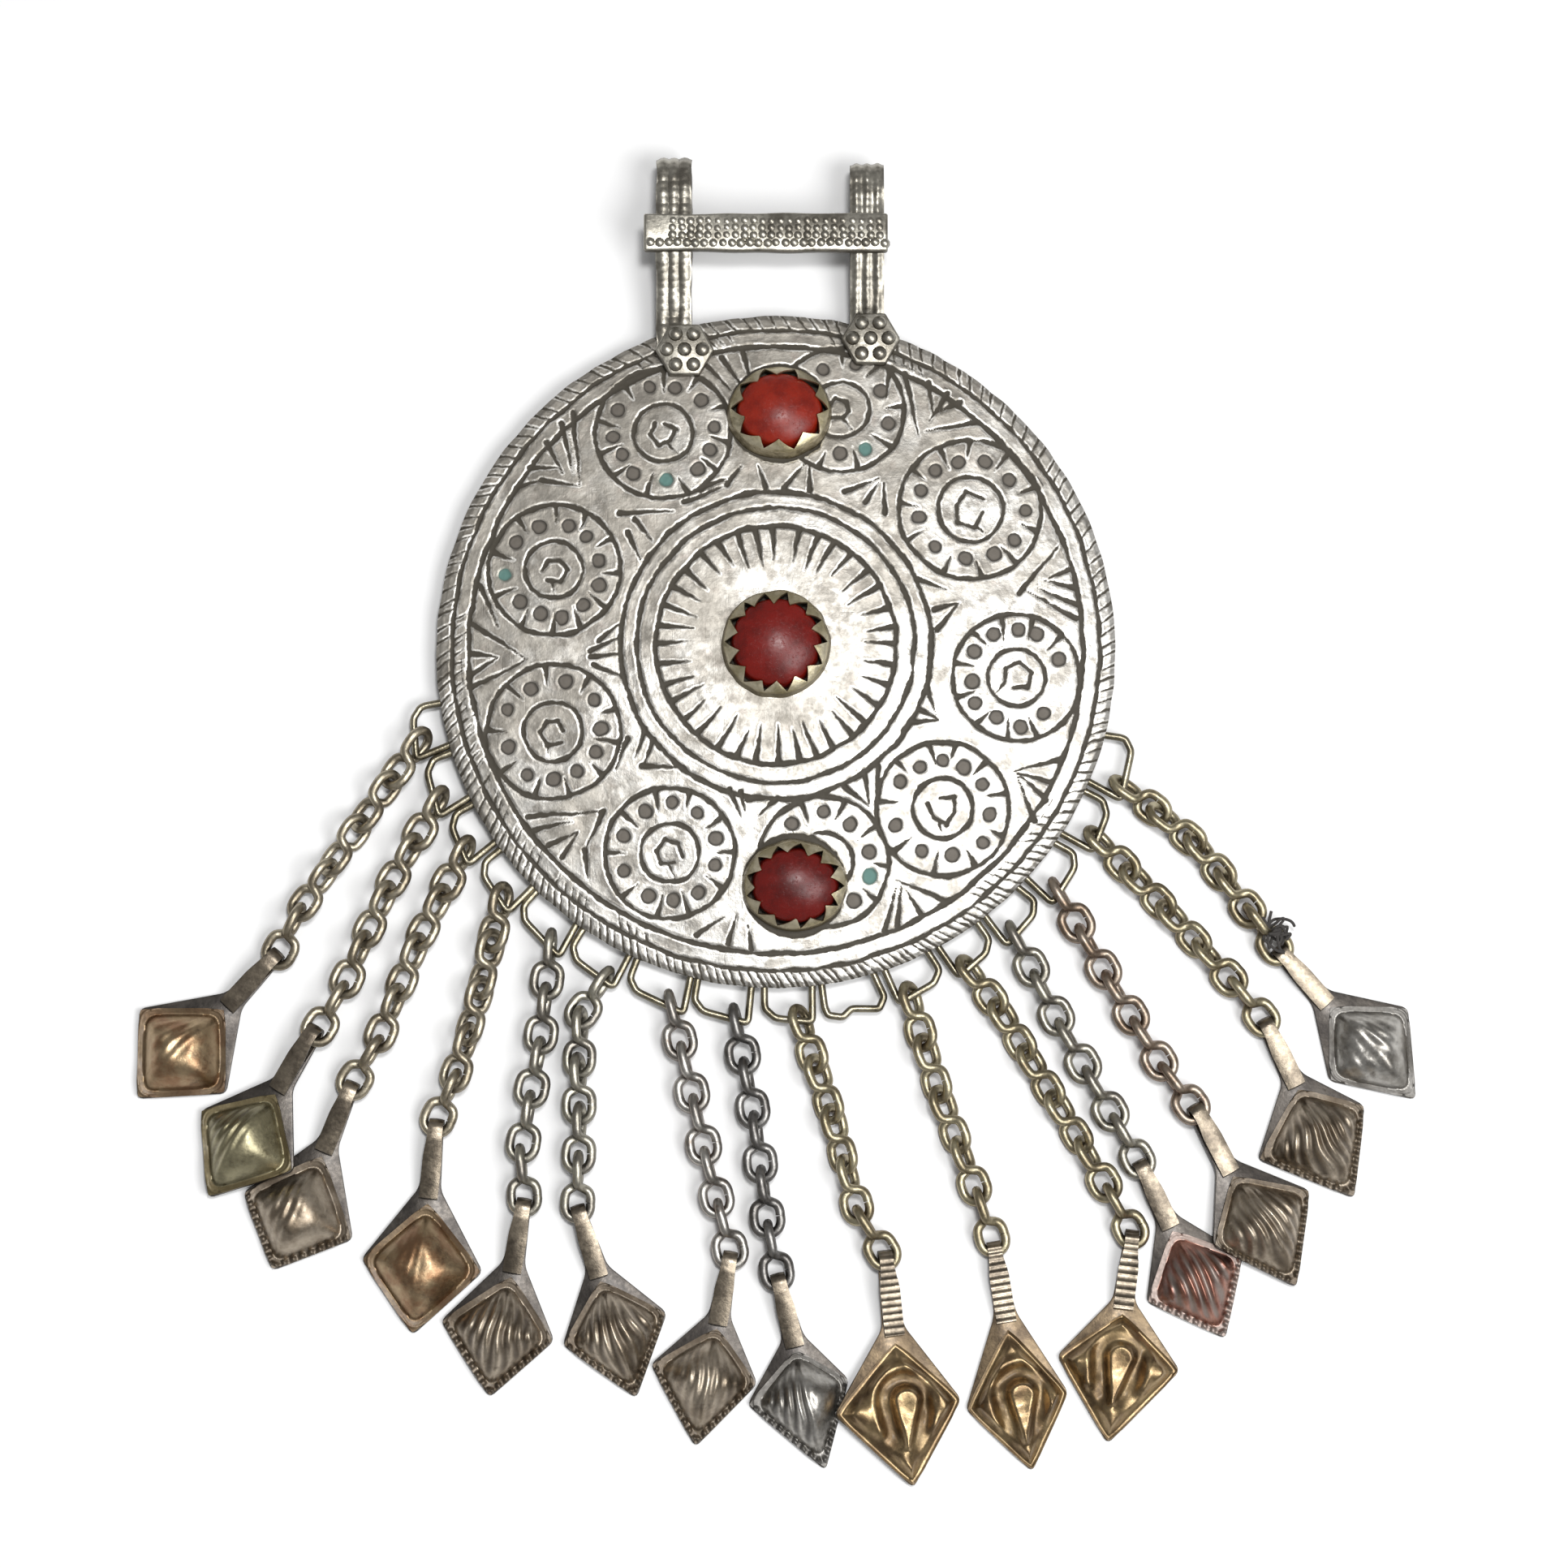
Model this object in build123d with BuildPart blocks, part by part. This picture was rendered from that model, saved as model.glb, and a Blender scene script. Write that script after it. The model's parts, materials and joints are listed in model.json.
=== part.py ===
from build123d import *
import os
from collections import namedtuple
from math import cos, dist, pi, radians, sin, sqrt

# A tribal silver pendant lying face up: an engraved domed disc with three red
# stones, a hanger of two strap loops and a beaded bar, and fifteen link chains
# that each carry a puffed diamond drop. Millimetres, +Y to the hanger, +Z up.
# It is built round the disc's centre on the surface that it lies on, and each
# piece is moved at the end so that the whole box stands on its bottom centre.

# Gaps between pieces that are not soldered together
LOOSE_GAP = 0.10
FLOOR_GAP = 0.08

# Chain links: a figure eight of two eyes at right angles, bent from one wire
LINK_WIRE = 1.1
EYE_RADIUS = 1.6
EYE_STRAIGHT = 0.74
WAIST_OVERLAP = 0.28
LINK_LENGTH = 2 * (2 * EYE_RADIUS + EYE_STRAIGHT) - WAIST_OVERLAP
LINK_PITCH = LINK_LENGTH - LINK_WIRE - LOOSE_GAP
EYE_CENTRE = EYE_RADIUS + EYE_STRAIGHT / 2
FIRST_ROLL = 0.75
NEXT_TO_LAST_ROLL = 0.65
LAST_ROLL = 0.10

# Wire loops round the lower rim
LOOP_WIRE = 0.86
LOOP_REACH = 4.1
LOOP_ROOT = 3.0
LOOP_HEIGHT = EYE_RADIUS * sin(pi / 4) + LINK_WIRE / 2 + LOOSE_GAP
LOOP_SOLDER = 0.28
LOOP_KNEE = 0.55
LOOP_ELBOW = 0.85
LOOP_SLANT = 0.30
LOOP_BENDS = (1.3, 1.3, 0.8)
LEG_GAP = 0.45
HOOK_GAP = 0.40
LEG_CLEARANCE = LINK_WIRE / 2 + LOOP_WIRE / 2 + LEG_GAP
HANG_LEAD = 0.45

# Disc
DISC_RADIUS = 40.0
SHEET = 1.0
DOME_RISE = 3.5
RIM_UNDERSIDE = LOOP_HEIGHT + LOOP_WIRE / 2 - LOOP_SOLDER
RIM_TOP = RIM_UNDERSIDE + SHEET
DOME_SPHERE = (DISC_RADIUS**2 + DOME_RISE**2) / (2 * DOME_RISE)
GROOVE_WIDTH = 0.85
GROOVE_DEPTH = 0.25
RING_GROOVES = [0.950, 0.905, 0.448, 0.405, 0.357]
ROSETTE_OUTER = 7.5
ROSETTE_INNER = 3.4

# Settings and stones
STONE_BASE = 5.35
STONE_TAPER = 0.30
STONE_WALL = 2.0
STONE_HEIGHT = 3.4
STONE_GAP = 0.06
BEZEL_BASE = 6.4
BEZEL_TOP_WALL = 0.5
BEZEL_HEIGHT = 2.2
BEZEL_LEAN = 0.25
BEZEL_SINK = 0.5
TEETH = 26
TOOTH_DEPTH = 0.9
TOOTH_WIDTH = 0.75

# Hanger
STRAP_WIDTH = 4.0
STRAP_SHEET = 0.8
STRAP_OPENING = 4.8
STRAP_TOP = 57.2
STRAP_FLAT = 12.0
STRAP_RIB = 0.5
STRAP_RIB_PROUD = 0.25
STRAP_BEND = 2.0
STRAP_BACK_END = 30.0
STRAP_SUNK = 0.3
BAR_LEFT = -15.6
BAR_RIGHT = 13.2
BAR_BOTTOM = 46.6
BAR_HEIGHT = 4.4
BAR_THICKNESS = 1.4
BAR_EDGE = 0.4
GRAIN_RADIUS = 0.5
GRAIN_PITCH = 1.15
GRAIN_ROWS = 3
PLATE_RADIUS = 3.5
PLATE_THICKNESS = 1.0
BOSS_RADIUS = 0.85
BOSS_RING = 2.1
BOSSES = 6

# Drops
DROP_LENGTH = 22.6
DROP_HALF_WIDTH = 6.8
BAIL_SHEET = 0.5
BAIL_WIDTH = 1.6
BAIL_FOLD = LINK_WIRE / 2 + 0.25
SHOULDER_WIDTH = 2.6
SHOULDER = 0.29
FRONT_TOP = 0.34
BORDER_WIDTH = 1.0
BORDER_HEIGHT = 0.35
PUFF_HEIGHT = 3.4
PUFF_STEPS = [(1.0, 0.0), (0.62, 0.62), (0.30, 0.90), (0.08, 1.0)]
BOTEH_PUFF = 0.6
BOTEH_BOSS = 1.6
BOTEH_RING = 3.1
BOTEH_SEAT = 0.75

# Wire loops, counted from the left: where the feet stand on the rim in degrees,
# how wide they stand, where the chain hangs, counted from the middle of the
# feet, and how far the other corner leans out, in mm.
EdgeLoop = namedtuple("EdgeLoop", "angle span hang flare")
EDGE_LOOPS = [
    EdgeLoop(192.4, 6.4, 3.4, 0.15),
    EdgeLoop(201.5, 7.2, 3.8, 0.15),
    EdgeLoop(210.7, 6.6, 3.2, 0.15),
    EdgeLoop(220.3, 7.85, 3.1, 0.15),
    EdgeLoop(229.55, 7.7, 4.2, 0.15),
    EdgeLoop(240.1, 8.6, 3.1, 0.15),
    EdgeLoop(250.6, 8.8, 4.0, 0.15),
    EdgeLoop(261.3, 8.7, 3.2, 0.15),
    EdgeLoop(272.2, 8.0, 2.1, 0.15),
    EdgeLoop(282.0, 8.65, -1.8, 0.6),
    EdgeLoop(292.1, 7.2, -1.75, 1.0),
    EdgeLoop(302.05, 7.7, -1.8, 0.3),
    EdgeLoop(311.3, 6.2, -2.3, 1.0),
    EdgeLoop(320.95, 6.5, -2.5, 1.0),
    EdgeLoop(331.0, 8.0, -2.4, 0.2),
    EdgeLoop(341.1, 6.8, -3.5, 1.0),
]

# Chosen points of each chain, from its loop to the fold of its drop, counted
# from where it hangs and in pitches of the chain pulled straight.
CHAIN_ROUTES = {
    1: [(-1.03, -1.47), (-2.14, -3.09), (-2.58, -4.02)],
    2: [(-1.00, -1.80), (-1.74, -3.58), (-2.22, -4.34)],
    3: [(-0.88, -1.76), (-1.51, -3.48), (-2.10, -4.42)],
    4: [(-0.31, -1.43), (-0.79, -3.22), (-1.23, -4.22)],
    5: [(-0.17, -1.78), (-0.53, -3.67), (-0.42, -4.84)],
    6: [(-0.52, -0.70), (-0.40, -1.95), (-0.45, -4.37)],
    7: [(0.36, -1.49), (0.59, -2.58), (1.14, -4.69)],
    8: [(0.35, -1.82), (0.59, -3.78), (0.80, -4.87)],
    9: [(0.57, -1.67), (1.06, -3.58), (1.64, -4.43)],
    10: [(0.49, -1.68), (1.20, -3.55), (1.57, -4.66)],
    11: [(0.49, -0.62), (2.05, -3.20), (3.08, -5.02)],
    12: [(0.87, -1.73), (1.84, -3.44), (2.36, -4.34)],
    13: [(0.91, -1.61), (1.90, -3.26), (2.55, -4.12)],
    14: [(1.31, -1.35), (2.55, -2.73), (3.17, -3.51)],
    15: [(1.26, -0.93), (2.30, -2.31), (2.93, -3.17)],
}

# Chains: the loop that each hangs on, its links, and how far they roll over, in
# degrees. Drops: heading in degrees, length, the two half widths and the widest
# place as shares of the plain drop's sizes and of the drop's own length, the
# roll over a neighbour in degrees, and whether it bears the raised boteh.
Chain = namedtuple("Chain", "loop links roll heading length left right widest tip boteh")
CHAINS = {
    1: Chain(1, 5, 42, 225.9, 1.00, 1.07, 1.04, 0.66, 0, False),
    2: Chain(2, 5, 25, 237.2, 0.99, 0.96, 1.01, 0.64, 8, False),
    3: Chain(3, 5, 30, 246.9, 1.00, 1.00, 1.06, 0.69, 0, False),
    4: Chain(4, 5, 42, 263.8, 1.06, 1.03, 1.07, 0.66, 0, False),
    5: Chain(5, 5, 8, 260.1, 0.98, 1.06, 0.92, 0.65, 0, False),
    6: Chain(6, 5, 15, 287.3, 0.98, 0.94, 0.93, 0.62, 0, False),
    7: Chain(7, 5, 5, 259.6, 0.96, 1.01, 0.85, 0.61, 0, False),
    8: Chain(8, 5, 10, 284.0, 0.98, 1.03, 0.76, 0.57, 0, False),
    9: Chain(9, 5, 42, 277.1, 1.16, 1.19, 1.01, 0.64, -5, True),
    10: Chain(11, 5, 42, 279.5, 1.15, 0.94, 0.84, 0.68, 0, True),
    11: Chain(12, 6, 42, 263.0, 1.04, 1.03, 1.09, 0.60, 0, True),
    12: Chain(13, 5, 12, 295.9, 0.96, 0.94, 0.91, 0.64, 0, False),
    13: Chain(14, 5, 15, 299.6, 1.02, 0.90, 1.06, 0.61, -6, False),
    14: Chain(15, 5, 42, 296.7, 0.98, 1.18, 0.90, 0.59, 0, False),
    15: Chain(16, 5, 38, 312.6, 1.01, 0.88, 0.99, 0.63, 0, False),
}

# Straps: place across, how far its foot plate stands aside from it, and how far
# inside the rim that plate is centred, in mm.
Strap = namedtuple("Strap", "x plate_aside plate_inset")
STRAPS = [
    Strap(-12.1, 1.3, 4.6),
    Strap(10.8, 0.4, 3.2),
]

# Engraved rosettes: the angle of each round the disc, and where they lie
ROSETTE_ANGLES = [118.3, 75.5, 35.5, 353.5, 316.3, 282.4, 242.0, 201.8, 161.0]
ROSETTE_CIRCLE = 27.4

# Settings: place on the disc and the stone's width across as a share
Setting = namedtuple("Setting", "x y long short")
SETTINGS = {
    "stone_top": Setting(0.4, 27.8, 0.96, 0.86),
    "stone_centre": Setting(0.0, 0.0, 1.0, 1.0),
    "stone_bottom": Setting(2.2, -28.2, 0.96, 0.83),
}


def dome_height(r):
    """Height of the disc's upper face at a distance r from its centre."""
    return RIM_TOP + (sqrt(DOME_SPHERE**2 - r**2) - sqrt(DOME_SPHERE**2 - DISC_RADIUS**2))


def dome_solid(lowered, foot):
    """Everything from the height foot up to the dome, lowered by some depth."""
    with BuildPart() as core:
        with BuildSketch(Plane.XZ):
            with BuildLine():
                top = (0, dome_height(0) - lowered)
                middle = (DISC_RADIUS / 2, dome_height(DISC_RADIUS / 2) - lowered)
                rim = (DISC_RADIUS, RIM_TOP - lowered)
                ThreePointArc(top, middle, rim)
                Polyline(rim, (DISC_RADIUS, foot), (0, foot), top)
            make_face()
        revolve(axis=Axis.Z)
    return core


def engraved_lines():
    """The engraved circles, as the metal that they take out of the dome."""
    half = GROOVE_WIDTH / 2
    with BuildPart() as grooves:
        with BuildSketch():
            for share in RING_GROOVES:
                Circle(share * DISC_RADIUS + half)
                Circle(share * DISC_RADIUS - half, mode=Mode.SUBTRACT)
            for angle in ROSETTE_ANGLES:
                with PolarLocations(ROSETTE_CIRCLE, 1, start_angle=angle):
                    Circle(ROSETTE_OUTER + half)
                    Circle(ROSETTE_OUTER - half, mode=Mode.SUBTRACT)
                    Circle(ROSETTE_INNER + half)
                    Circle(ROSETTE_INNER - half, mode=Mode.SUBTRACT)
        extrude(amount=RIM_TOP + 2 * DOME_RISE)
        add(dome_solid(GROOVE_DEPTH, -1).part, mode=Mode.SUBTRACT)
    return grooves


def setting_plane(setting):
    """A plane that lies on the dome at a setting, with its own up."""
    seat = Vector(setting.x, setting.y, dome_height(sqrt(setting.x**2 + setting.y**2)))
    centre = Vector(0, 0, dome_height(0) - DOME_SPHERE)
    return Plane(origin=seat, x_dir=(1, 0, 0), z_dir=seat - centre)


def bezel():
    """A round collar with saw teeth that lean in over the stone."""
    lean = BEZEL_LEAN
    top_inner = STONE_BASE + LOOSE_GAP - lean
    top_outer = top_inner + BEZEL_TOP_WALL
    with BuildPart() as collar:
        with BuildSketch(Plane.XZ):
            Polygon(
                (STONE_BASE + LOOSE_GAP, -BEZEL_SINK),
                (BEZEL_BASE, -BEZEL_SINK),
                (BEZEL_BASE, 0),
                (top_outer, BEZEL_HEIGHT),
                (top_inner, BEZEL_HEIGHT),
                (STONE_BASE + LOOSE_GAP, 2 * LOOSE_GAP),
                align=None,
            )
        revolve(axis=Axis.Z)
        with BuildSketch(Plane.XZ.offset(-BEZEL_BASE)) as notch:
            Polygon(
                (0, BEZEL_HEIGHT - TOOTH_DEPTH),
                (TOOTH_WIDTH / 2, BEZEL_HEIGHT + LOOSE_GAP),
                (-TOOTH_WIDTH / 2, BEZEL_HEIGHT + LOOSE_GAP),
                align=None,
            )
    with BuildPart() as wedge:
        add(notch.sketch)
        extrude(amount=BEZEL_BASE - STONE_BASE + 2 * BEZEL_LEAN + LOOSE_GAP)
    with BuildPart() as toothed:
        add(collar.part)
        with PolarLocations(0, TEETH):
            add(wedge.part, mode=Mode.SUBTRACT)
    return toothed


def stone():
    """A round cabochon: a wall that leans in a little under a low dome."""
    shoulder = STONE_BASE - STONE_TAPER
    with BuildPart() as cabochon:
        with BuildSketch(Plane.XZ):
            with BuildLine():
                base = Polyline((0, STONE_GAP), (STONE_BASE, STONE_GAP), (shoulder, STONE_WALL))
                crown = RadiusArc(
                    base @ 1,
                    (0, STONE_HEIGHT),
                    -(shoulder**2 + (STONE_HEIGHT - STONE_WALL)**2)
                    / (2 * (STONE_HEIGHT - STONE_WALL)),
                )
                Line(crown @ 1, (0, STONE_GAP))
            make_face()
        revolve(axis=Axis.Z)
    return cabochon


def loop_corners(loop):
    """Corners of a wire loop as (outward, sideways), sideways to its hang."""
    half = DISC_RADIUS * radians(loop.span) / 2
    reach = DISC_RADIUS + LOOP_REACH
    hang_leg = reach * radians(abs(loop.hang)) + LEG_CLEARANCE - HANG_LEAD
    return [
        (DISC_RADIUS - LOOP_ROOT, -half),
        (DISC_RADIUS + LOOP_KNEE * LOOP_REACH, -half - loop.flare),
        (DISC_RADIUS + LOOP_ELBOW * LOOP_REACH, -half - loop.flare + LOOP_SLANT * LOOP_REACH),
        (reach, hang_leg),
        (DISC_RADIUS - LOOP_ROOT, half),
    ]


def on_rim(loop, outward, sideways):
    """A point of a wire loop, from its own directions to the disc's."""
    turn = radians(loop.angle)
    side = sideways if loop.hang > 0 else -sideways
    return (
        outward * cos(turn) - side * sin(turn),
        outward * sin(turn) + side * cos(turn),
    )


def hang_point(loop):
    """Where a chain hangs: on the loop's outer run, clear of its near leg."""
    corners = loop_corners(loop)
    near, far = corners[3], corners[2]
    share = LEG_CLEARANCE / (near[1] - far[1])
    outward = near[0] + share * (far[0] - near[0])
    return on_rim(loop, outward, near[1] - LEG_CLEARANCE)


def hang_run(loop):
    """The direction of the wire that a chain hangs on."""
    corners = [Vector(*on_rim(loop, *corner)) for corner in loop_corners(loop)]
    return (corners[3] - corners[2]).normalized()


def edge_loop(loop):
    """One bent wire, with both feet under the rim."""
    bends = [bend * LOOP_WIRE for bend in LOOP_BENDS]
    corners = [on_rim(loop, *corner) for corner in loop_corners(loop)]
    with BuildPart() as wire:
        with BuildLine(Plane.XY.offset(LOOP_HEIGHT)) as path:
            FilletPolyline(*corners, radius=bends)
        with BuildSketch(Plane(origin=path.line @ 0, z_dir=path.line % 0)):
            Circle(LOOP_WIRE / 2)
        sweep(path=path.line)
    return wire


def strap(row):
    """A ribbed strip bent into a standing loop, one leg over and one under."""
    x = row.x
    low = STRAP_SHEET / 2 + STRAP_RIB_PROUD
    high = low + STRAP_SHEET + STRAP_OPENING
    knee = STRAP_TOP - STRAP_FLAT
    foot = DISC_RADIUS - row.plate_inset
    tip = STRAP_TOP - low
    turn = (high - low) / 2 - FLOOR_GAP
    sunk = STRAP_SUNK * STRAP_SHEET
    back_end = dome_height(sqrt(x**2 + STRAP_BACK_END**2)) - SHEET - sunk
    front_foot = dome_height(sqrt(x**2 + foot**2)) + sunk
    side = [
        (STRAP_BACK_END, back_end),
        (DISC_RADIUS - SHEET, RIM_UNDERSIDE - sunk),
        (knee, low),
        (tip, low),
        (tip, high),
        (knee, high),
        (DISC_RADIUS, front_foot + sunk),
        (foot, front_foot),
    ]
    bends = (STRAP_BEND, STRAP_BEND, turn, turn, STRAP_BEND, STRAP_BEND)
    rib_pitch = (STRAP_WIDTH - 2 * STRAP_RIB) / 2
    with BuildPart() as strip:
        with BuildLine(Plane.YZ.offset(x)) as path:
            FilletPolyline(*side, radius=bends)
        section = Plane(origin=path.line @ 0, x_dir=(1, 0, 0), z_dir=path.line % 0)
        with BuildSketch(section):
            Rectangle(STRAP_WIDTH, STRAP_SHEET)
            with Locations((0, STRAP_SHEET / 2 + STRAP_RIB_PROUD - STRAP_RIB)):
                with GridLocations(rib_pitch, 0, 3, 1):
                    Circle(STRAP_RIB)
        sweep(path=path.line)
    return strip


def crossbar():
    """The beaded bar that is soldered across the front legs of the straps."""
    length = BAR_RIGHT - BAR_LEFT
    under = STRAP_SHEET * 2 + STRAP_OPENING + STRAP_RIB_PROUD
    face = Plane(origin=((BAR_LEFT + BAR_RIGHT) / 2, BAR_BOTTOM + BAR_HEIGHT / 2, under))
    across = int((length - 2 * BAR_EDGE) / GRAIN_PITCH)
    with BuildPart() as bar:
        with BuildSketch(face):
            RectangleRounded(length, BAR_HEIGHT, BAR_EDGE)
        extrude(amount=BAR_THICKNESS)
        with Locations(face.offset(BAR_THICKNESS)):
            with GridLocations(GRAIN_PITCH, GRAIN_PITCH, across, GRAIN_ROWS):
                Sphere(GRAIN_RADIUS)
    return bar


def foot_plate(row):
    """A small hexagonal plate with seven bosses that hides a strap's foot."""
    x = row.x + row.plate_aside
    y = DISC_RADIUS - row.plate_inset
    seat = dome_height(sqrt(x**2 + y**2)) - SHEET / 2
    top = seat + SHEET / 2 + STRAP_SHEET + PLATE_THICKNESS
    with BuildPart() as plate:
        with BuildSketch(Plane(origin=(x, y, seat))):
            RegularPolygon(PLATE_RADIUS, 6, rotation=30)
        extrude(amount=top - seat)
        with Locations((x, y, top)):
            Sphere(BOSS_RADIUS)
            with PolarLocations(BOSS_RING, BOSSES):
                Sphere(BOSS_RADIUS)
    return plate


def eye(plane, start):
    """One long eye of a link, in a plane, from its tip at start."""
    near = start + EYE_RADIUS
    far = near + EYE_STRAIGHT
    with BuildPart() as ring:
        with BuildLine(plane) as path:
            side = Line((near, EYE_RADIUS), (far, EYE_RADIUS))
            end = RadiusArc(side @ 1, (far, -EYE_RADIUS), EYE_RADIUS)
            back = Line(end @ 1, (near, -EYE_RADIUS))
            RadiusArc(back @ 1, side @ 0, EYE_RADIUS)
        with BuildSketch(Plane(origin=path.line @ 0, z_dir=path.line % 0)):
            Circle(LINK_WIRE / 2)
        sweep(path=path.line)
    return ring


def figure_eight():
    """A link along X from its first tip: an upright eye, then a flat one."""
    with BuildPart() as link:
        add(eye(Plane.XZ, 0).part)
        add(eye(Plane.XY, 2 * EYE_RADIUS + EYE_STRAIGHT - WAIST_OVERLAP).part)
    return link


def along(route, reach):
    """The point of a route of straight runs at a distance from its start."""
    for start, end in zip(route, route[1:]):
        run = dist(start, end)
        if reach <= run or end is route[-1]:
            share = reach / run
            return tuple(a + share * (b - a) for a, b in zip(start, end))
        reach -= run


def link_plane(start, end, roll):
    """A link's own plane, from the tip it starts at towards the one it ends at."""
    heading = (Vector(*end) - Vector(*start)).normalized()
    up = heading.cross(Vector(0, 0, 1).cross(heading))
    return Plane(origin=start, x_dir=heading, z_dir=up.rotate(Axis((0, 0, 0), heading), roll))


def axis_height(roll):
    """Height of a link's axis when it lies on the surface, rolled by an angle."""
    upright = max(cos(radians(roll)), sin(radians(roll)))
    return EYE_RADIUS * upright + LINK_WIRE / 2 + FLOOR_GAP


def drop_lift(row):
    """How far a drop's middle is raised where it is rolled over a neighbour."""
    low_side = row.left if row.tip > 0 else row.right
    return low_side * DROP_HALF_WIDTH * sin(radians(abs(row.tip)))


def chain_route(number):
    """A chain's route from where it hangs to its last tip, seen from above."""
    hang = hang_point(EDGE_LOOPS[CHAINS[number].loop - 1])
    steps = CHAIN_ROUTES[number]
    return [hang] + [(hang[0] + u * LINK_PITCH, hang[1] + v * LINK_PITCH) for u, v in steps]


def link_ends(number):
    """Start, end and roll of each link of a chain."""
    row = CHAINS[number]
    route = chain_route(number)
    first = (Vector(*route[1]) - Vector(*route[0])).normalized()
    across = first.cross(hang_run(EDGE_LOOPS[row.loop - 1])).length
    lead = (LINK_WIRE / 2 + LOOP_WIRE / 2 + HOOK_GAP) / across
    total = sum(dist(start, end) for start, end in zip(route, route[1:]))
    pitch = (total + lead - LINK_LENGTH) / (row.links - 1)
    shares = [FIRST_ROLL] + [1.0] * (row.links - 3) + [NEXT_TO_LAST_ROLL, LAST_ROLL]
    ends = []
    for i, share in enumerate(shares):
        roll = share * row.roll
        reach = i * pitch - lead
        height = axis_height(roll)
        start = (*along(route, reach), height)
        end = (*along(route, reach + LINK_LENGTH), height)
        ends.append((start, end, roll))
    fold_height = BAIL_SHEET + BAIL_FOLD + drop_lift(row)
    eye_share = EYE_CENTRE / LINK_LENGTH
    lifted = (axis_height(roll) - eye_share * fold_height) / (1 - eye_share)
    ends[-1] = ((*start[:2], lifted), (*end[:2], fold_height), roll)
    return ends


def chain(number, link):
    """A run of links from a wire loop to the fold of a drop."""
    with BuildPart() as run:
        for start, end, roll in link_ends(number):
            with Locations(link_plane(start, end, roll)):
                add(link.part)
    return run


def drop(number):
    """A diamond drop in its own frame: +X from the bail's fold to its point."""
    row = CHAINS[number]
    length = row.length * DROP_LENGTH
    left = row.left * DROP_HALF_WIDTH
    right = row.right * DROP_HALF_WIDTH
    widest = row.widest * length
    shoulder = SHOULDER * length
    front_top = FRONT_TOP * length
    neck = BAIL_WIDTH / 2
    puff = PUFF_HEIGHT * (BOTEH_PUFF if row.boteh else 1)
    fold = BAIL_SHEET / 2 + BAIL_FOLD
    face = fold + fold

    def kite(share, border):
        """The drop's diamond, shrunk towards its widest place."""
        return [
            (widest + share * (front_top - widest), 0),
            (widest, -share * (left - border)),
            (widest + share * (length - border - widest), 0),
            (widest, share * (right - border)),
        ]

    with BuildPart() as front:
        for share, rise in PUFF_STEPS:
            with BuildSketch(Plane.XY.offset(BAIL_SHEET / 2 + rise * puff)):
                Polygon(*kite(share, BORDER_WIDTH), align=None)
        loft()

    with BuildPart() as bail:
        with BuildLine(Plane.XZ) as path:
            back = Line((2 * BAIL_FOLD, BAIL_SHEET / 2), (0, BAIL_SHEET / 2))
            turn = RadiusArc(back @ 1, (0, BAIL_SHEET / 2 + face), fold)
            top = Line(turn @ 1, (LINK_WIRE, BAIL_SHEET / 2 + face))
            Line(top @ 1, (shoulder + BAIL_SHEET, BAIL_SHEET))
        with BuildSketch(Plane(origin=path.line @ 0, x_dir=(0, 1, 0), z_dir=path.line % 0)):
            Rectangle(BAIL_WIDTH, BAIL_SHEET)
        sweep(path=path.line, transition=Transition.RIGHT)

    with BuildPart() as body:
        with BuildSketch():
            Polygon(
                (0, -neck),
                (shoulder, -SHOULDER_WIDTH / 2),
                (widest, -left),
                (length, 0),
                (widest, right),
                (shoulder, SHOULDER_WIDTH / 2),
                (0, neck),
                align=None,
            )
        extrude(amount=BAIL_SHEET)
        with BuildSketch(Plane.XY.offset(BAIL_SHEET)):
            Polygon((widest, -left), (length, 0), (widest, right), align=None)
            Polygon(
                (widest - BORDER_WIDTH, -left + BORDER_WIDTH),
                (length - 2 * BORDER_WIDTH, 0),
                (widest - BORDER_WIDTH, right - BORDER_WIDTH),
                align=None,
                mode=Mode.SUBTRACT,
            )
        extrude(amount=BORDER_HEIGHT)
        add(front.part)
        add(bail.part)
        if row.boteh:
            with Locations((widest, 0, BAIL_SHEET / 2 + BOTEH_SEAT * puff)):
                Sphere(BOTEH_BOSS)
                Torus(BOTEH_RING, BAIL_SHEET)
    return body


def drop_plane(number):
    """Where a drop lies: its fold through the middle of the last eye."""
    row = CHAINS[number]
    start, end, _ = link_ends(number)[-1]
    pull = (Vector(*end) - Vector(*start)).normalized()
    turn = radians(row.heading)
    heading = Vector(cos(turn), sin(turn), 0)
    fold = Vector(*end) - pull * EYE_RADIUS + heading * (BAIL_FOLD + BAIL_SHEET / 2)
    up = Vector(0, 0, 1).rotate(Axis((0, 0, 0), heading), row.tip)
    return Plane(origin=(fold.X, fold.Y, drop_lift(row)), x_dir=heading, z_dir=up)


def set_stone(setting, piece):
    """A round setting or stone made oval and laid on the dome."""
    with BuildPart() as oval:
        add(piece.part)
        if (setting.long, setting.short) != (1.0, 1.0):
            scale(by=(setting.long, setting.short, 1.0))
    with BuildPart() as placed:
        with Locations(setting_plane(setting)):
            add(oval.part)
    return placed


def pendant():
    """The soldered silver: disc, settings, wire loops, straps, bar and plates."""
    collar = bezel()
    with BuildPart() as silver:
        add(dome_solid(0, RIM_UNDERSIDE).part)
        add(dome_solid(SHEET, 0).part, mode=Mode.SUBTRACT)
        add(engraved_lines().part, mode=Mode.SUBTRACT)
        for setting in SETTINGS.values():
            add(set_stone(setting, collar).part)
        for loop in EDGE_LOOPS:
            add(edge_loop(loop).part)
        for row in STRAPS:
            add(strap(row).part)
            add(foot_plate(row).part)
        add(crossbar().part)
    return silver


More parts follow.
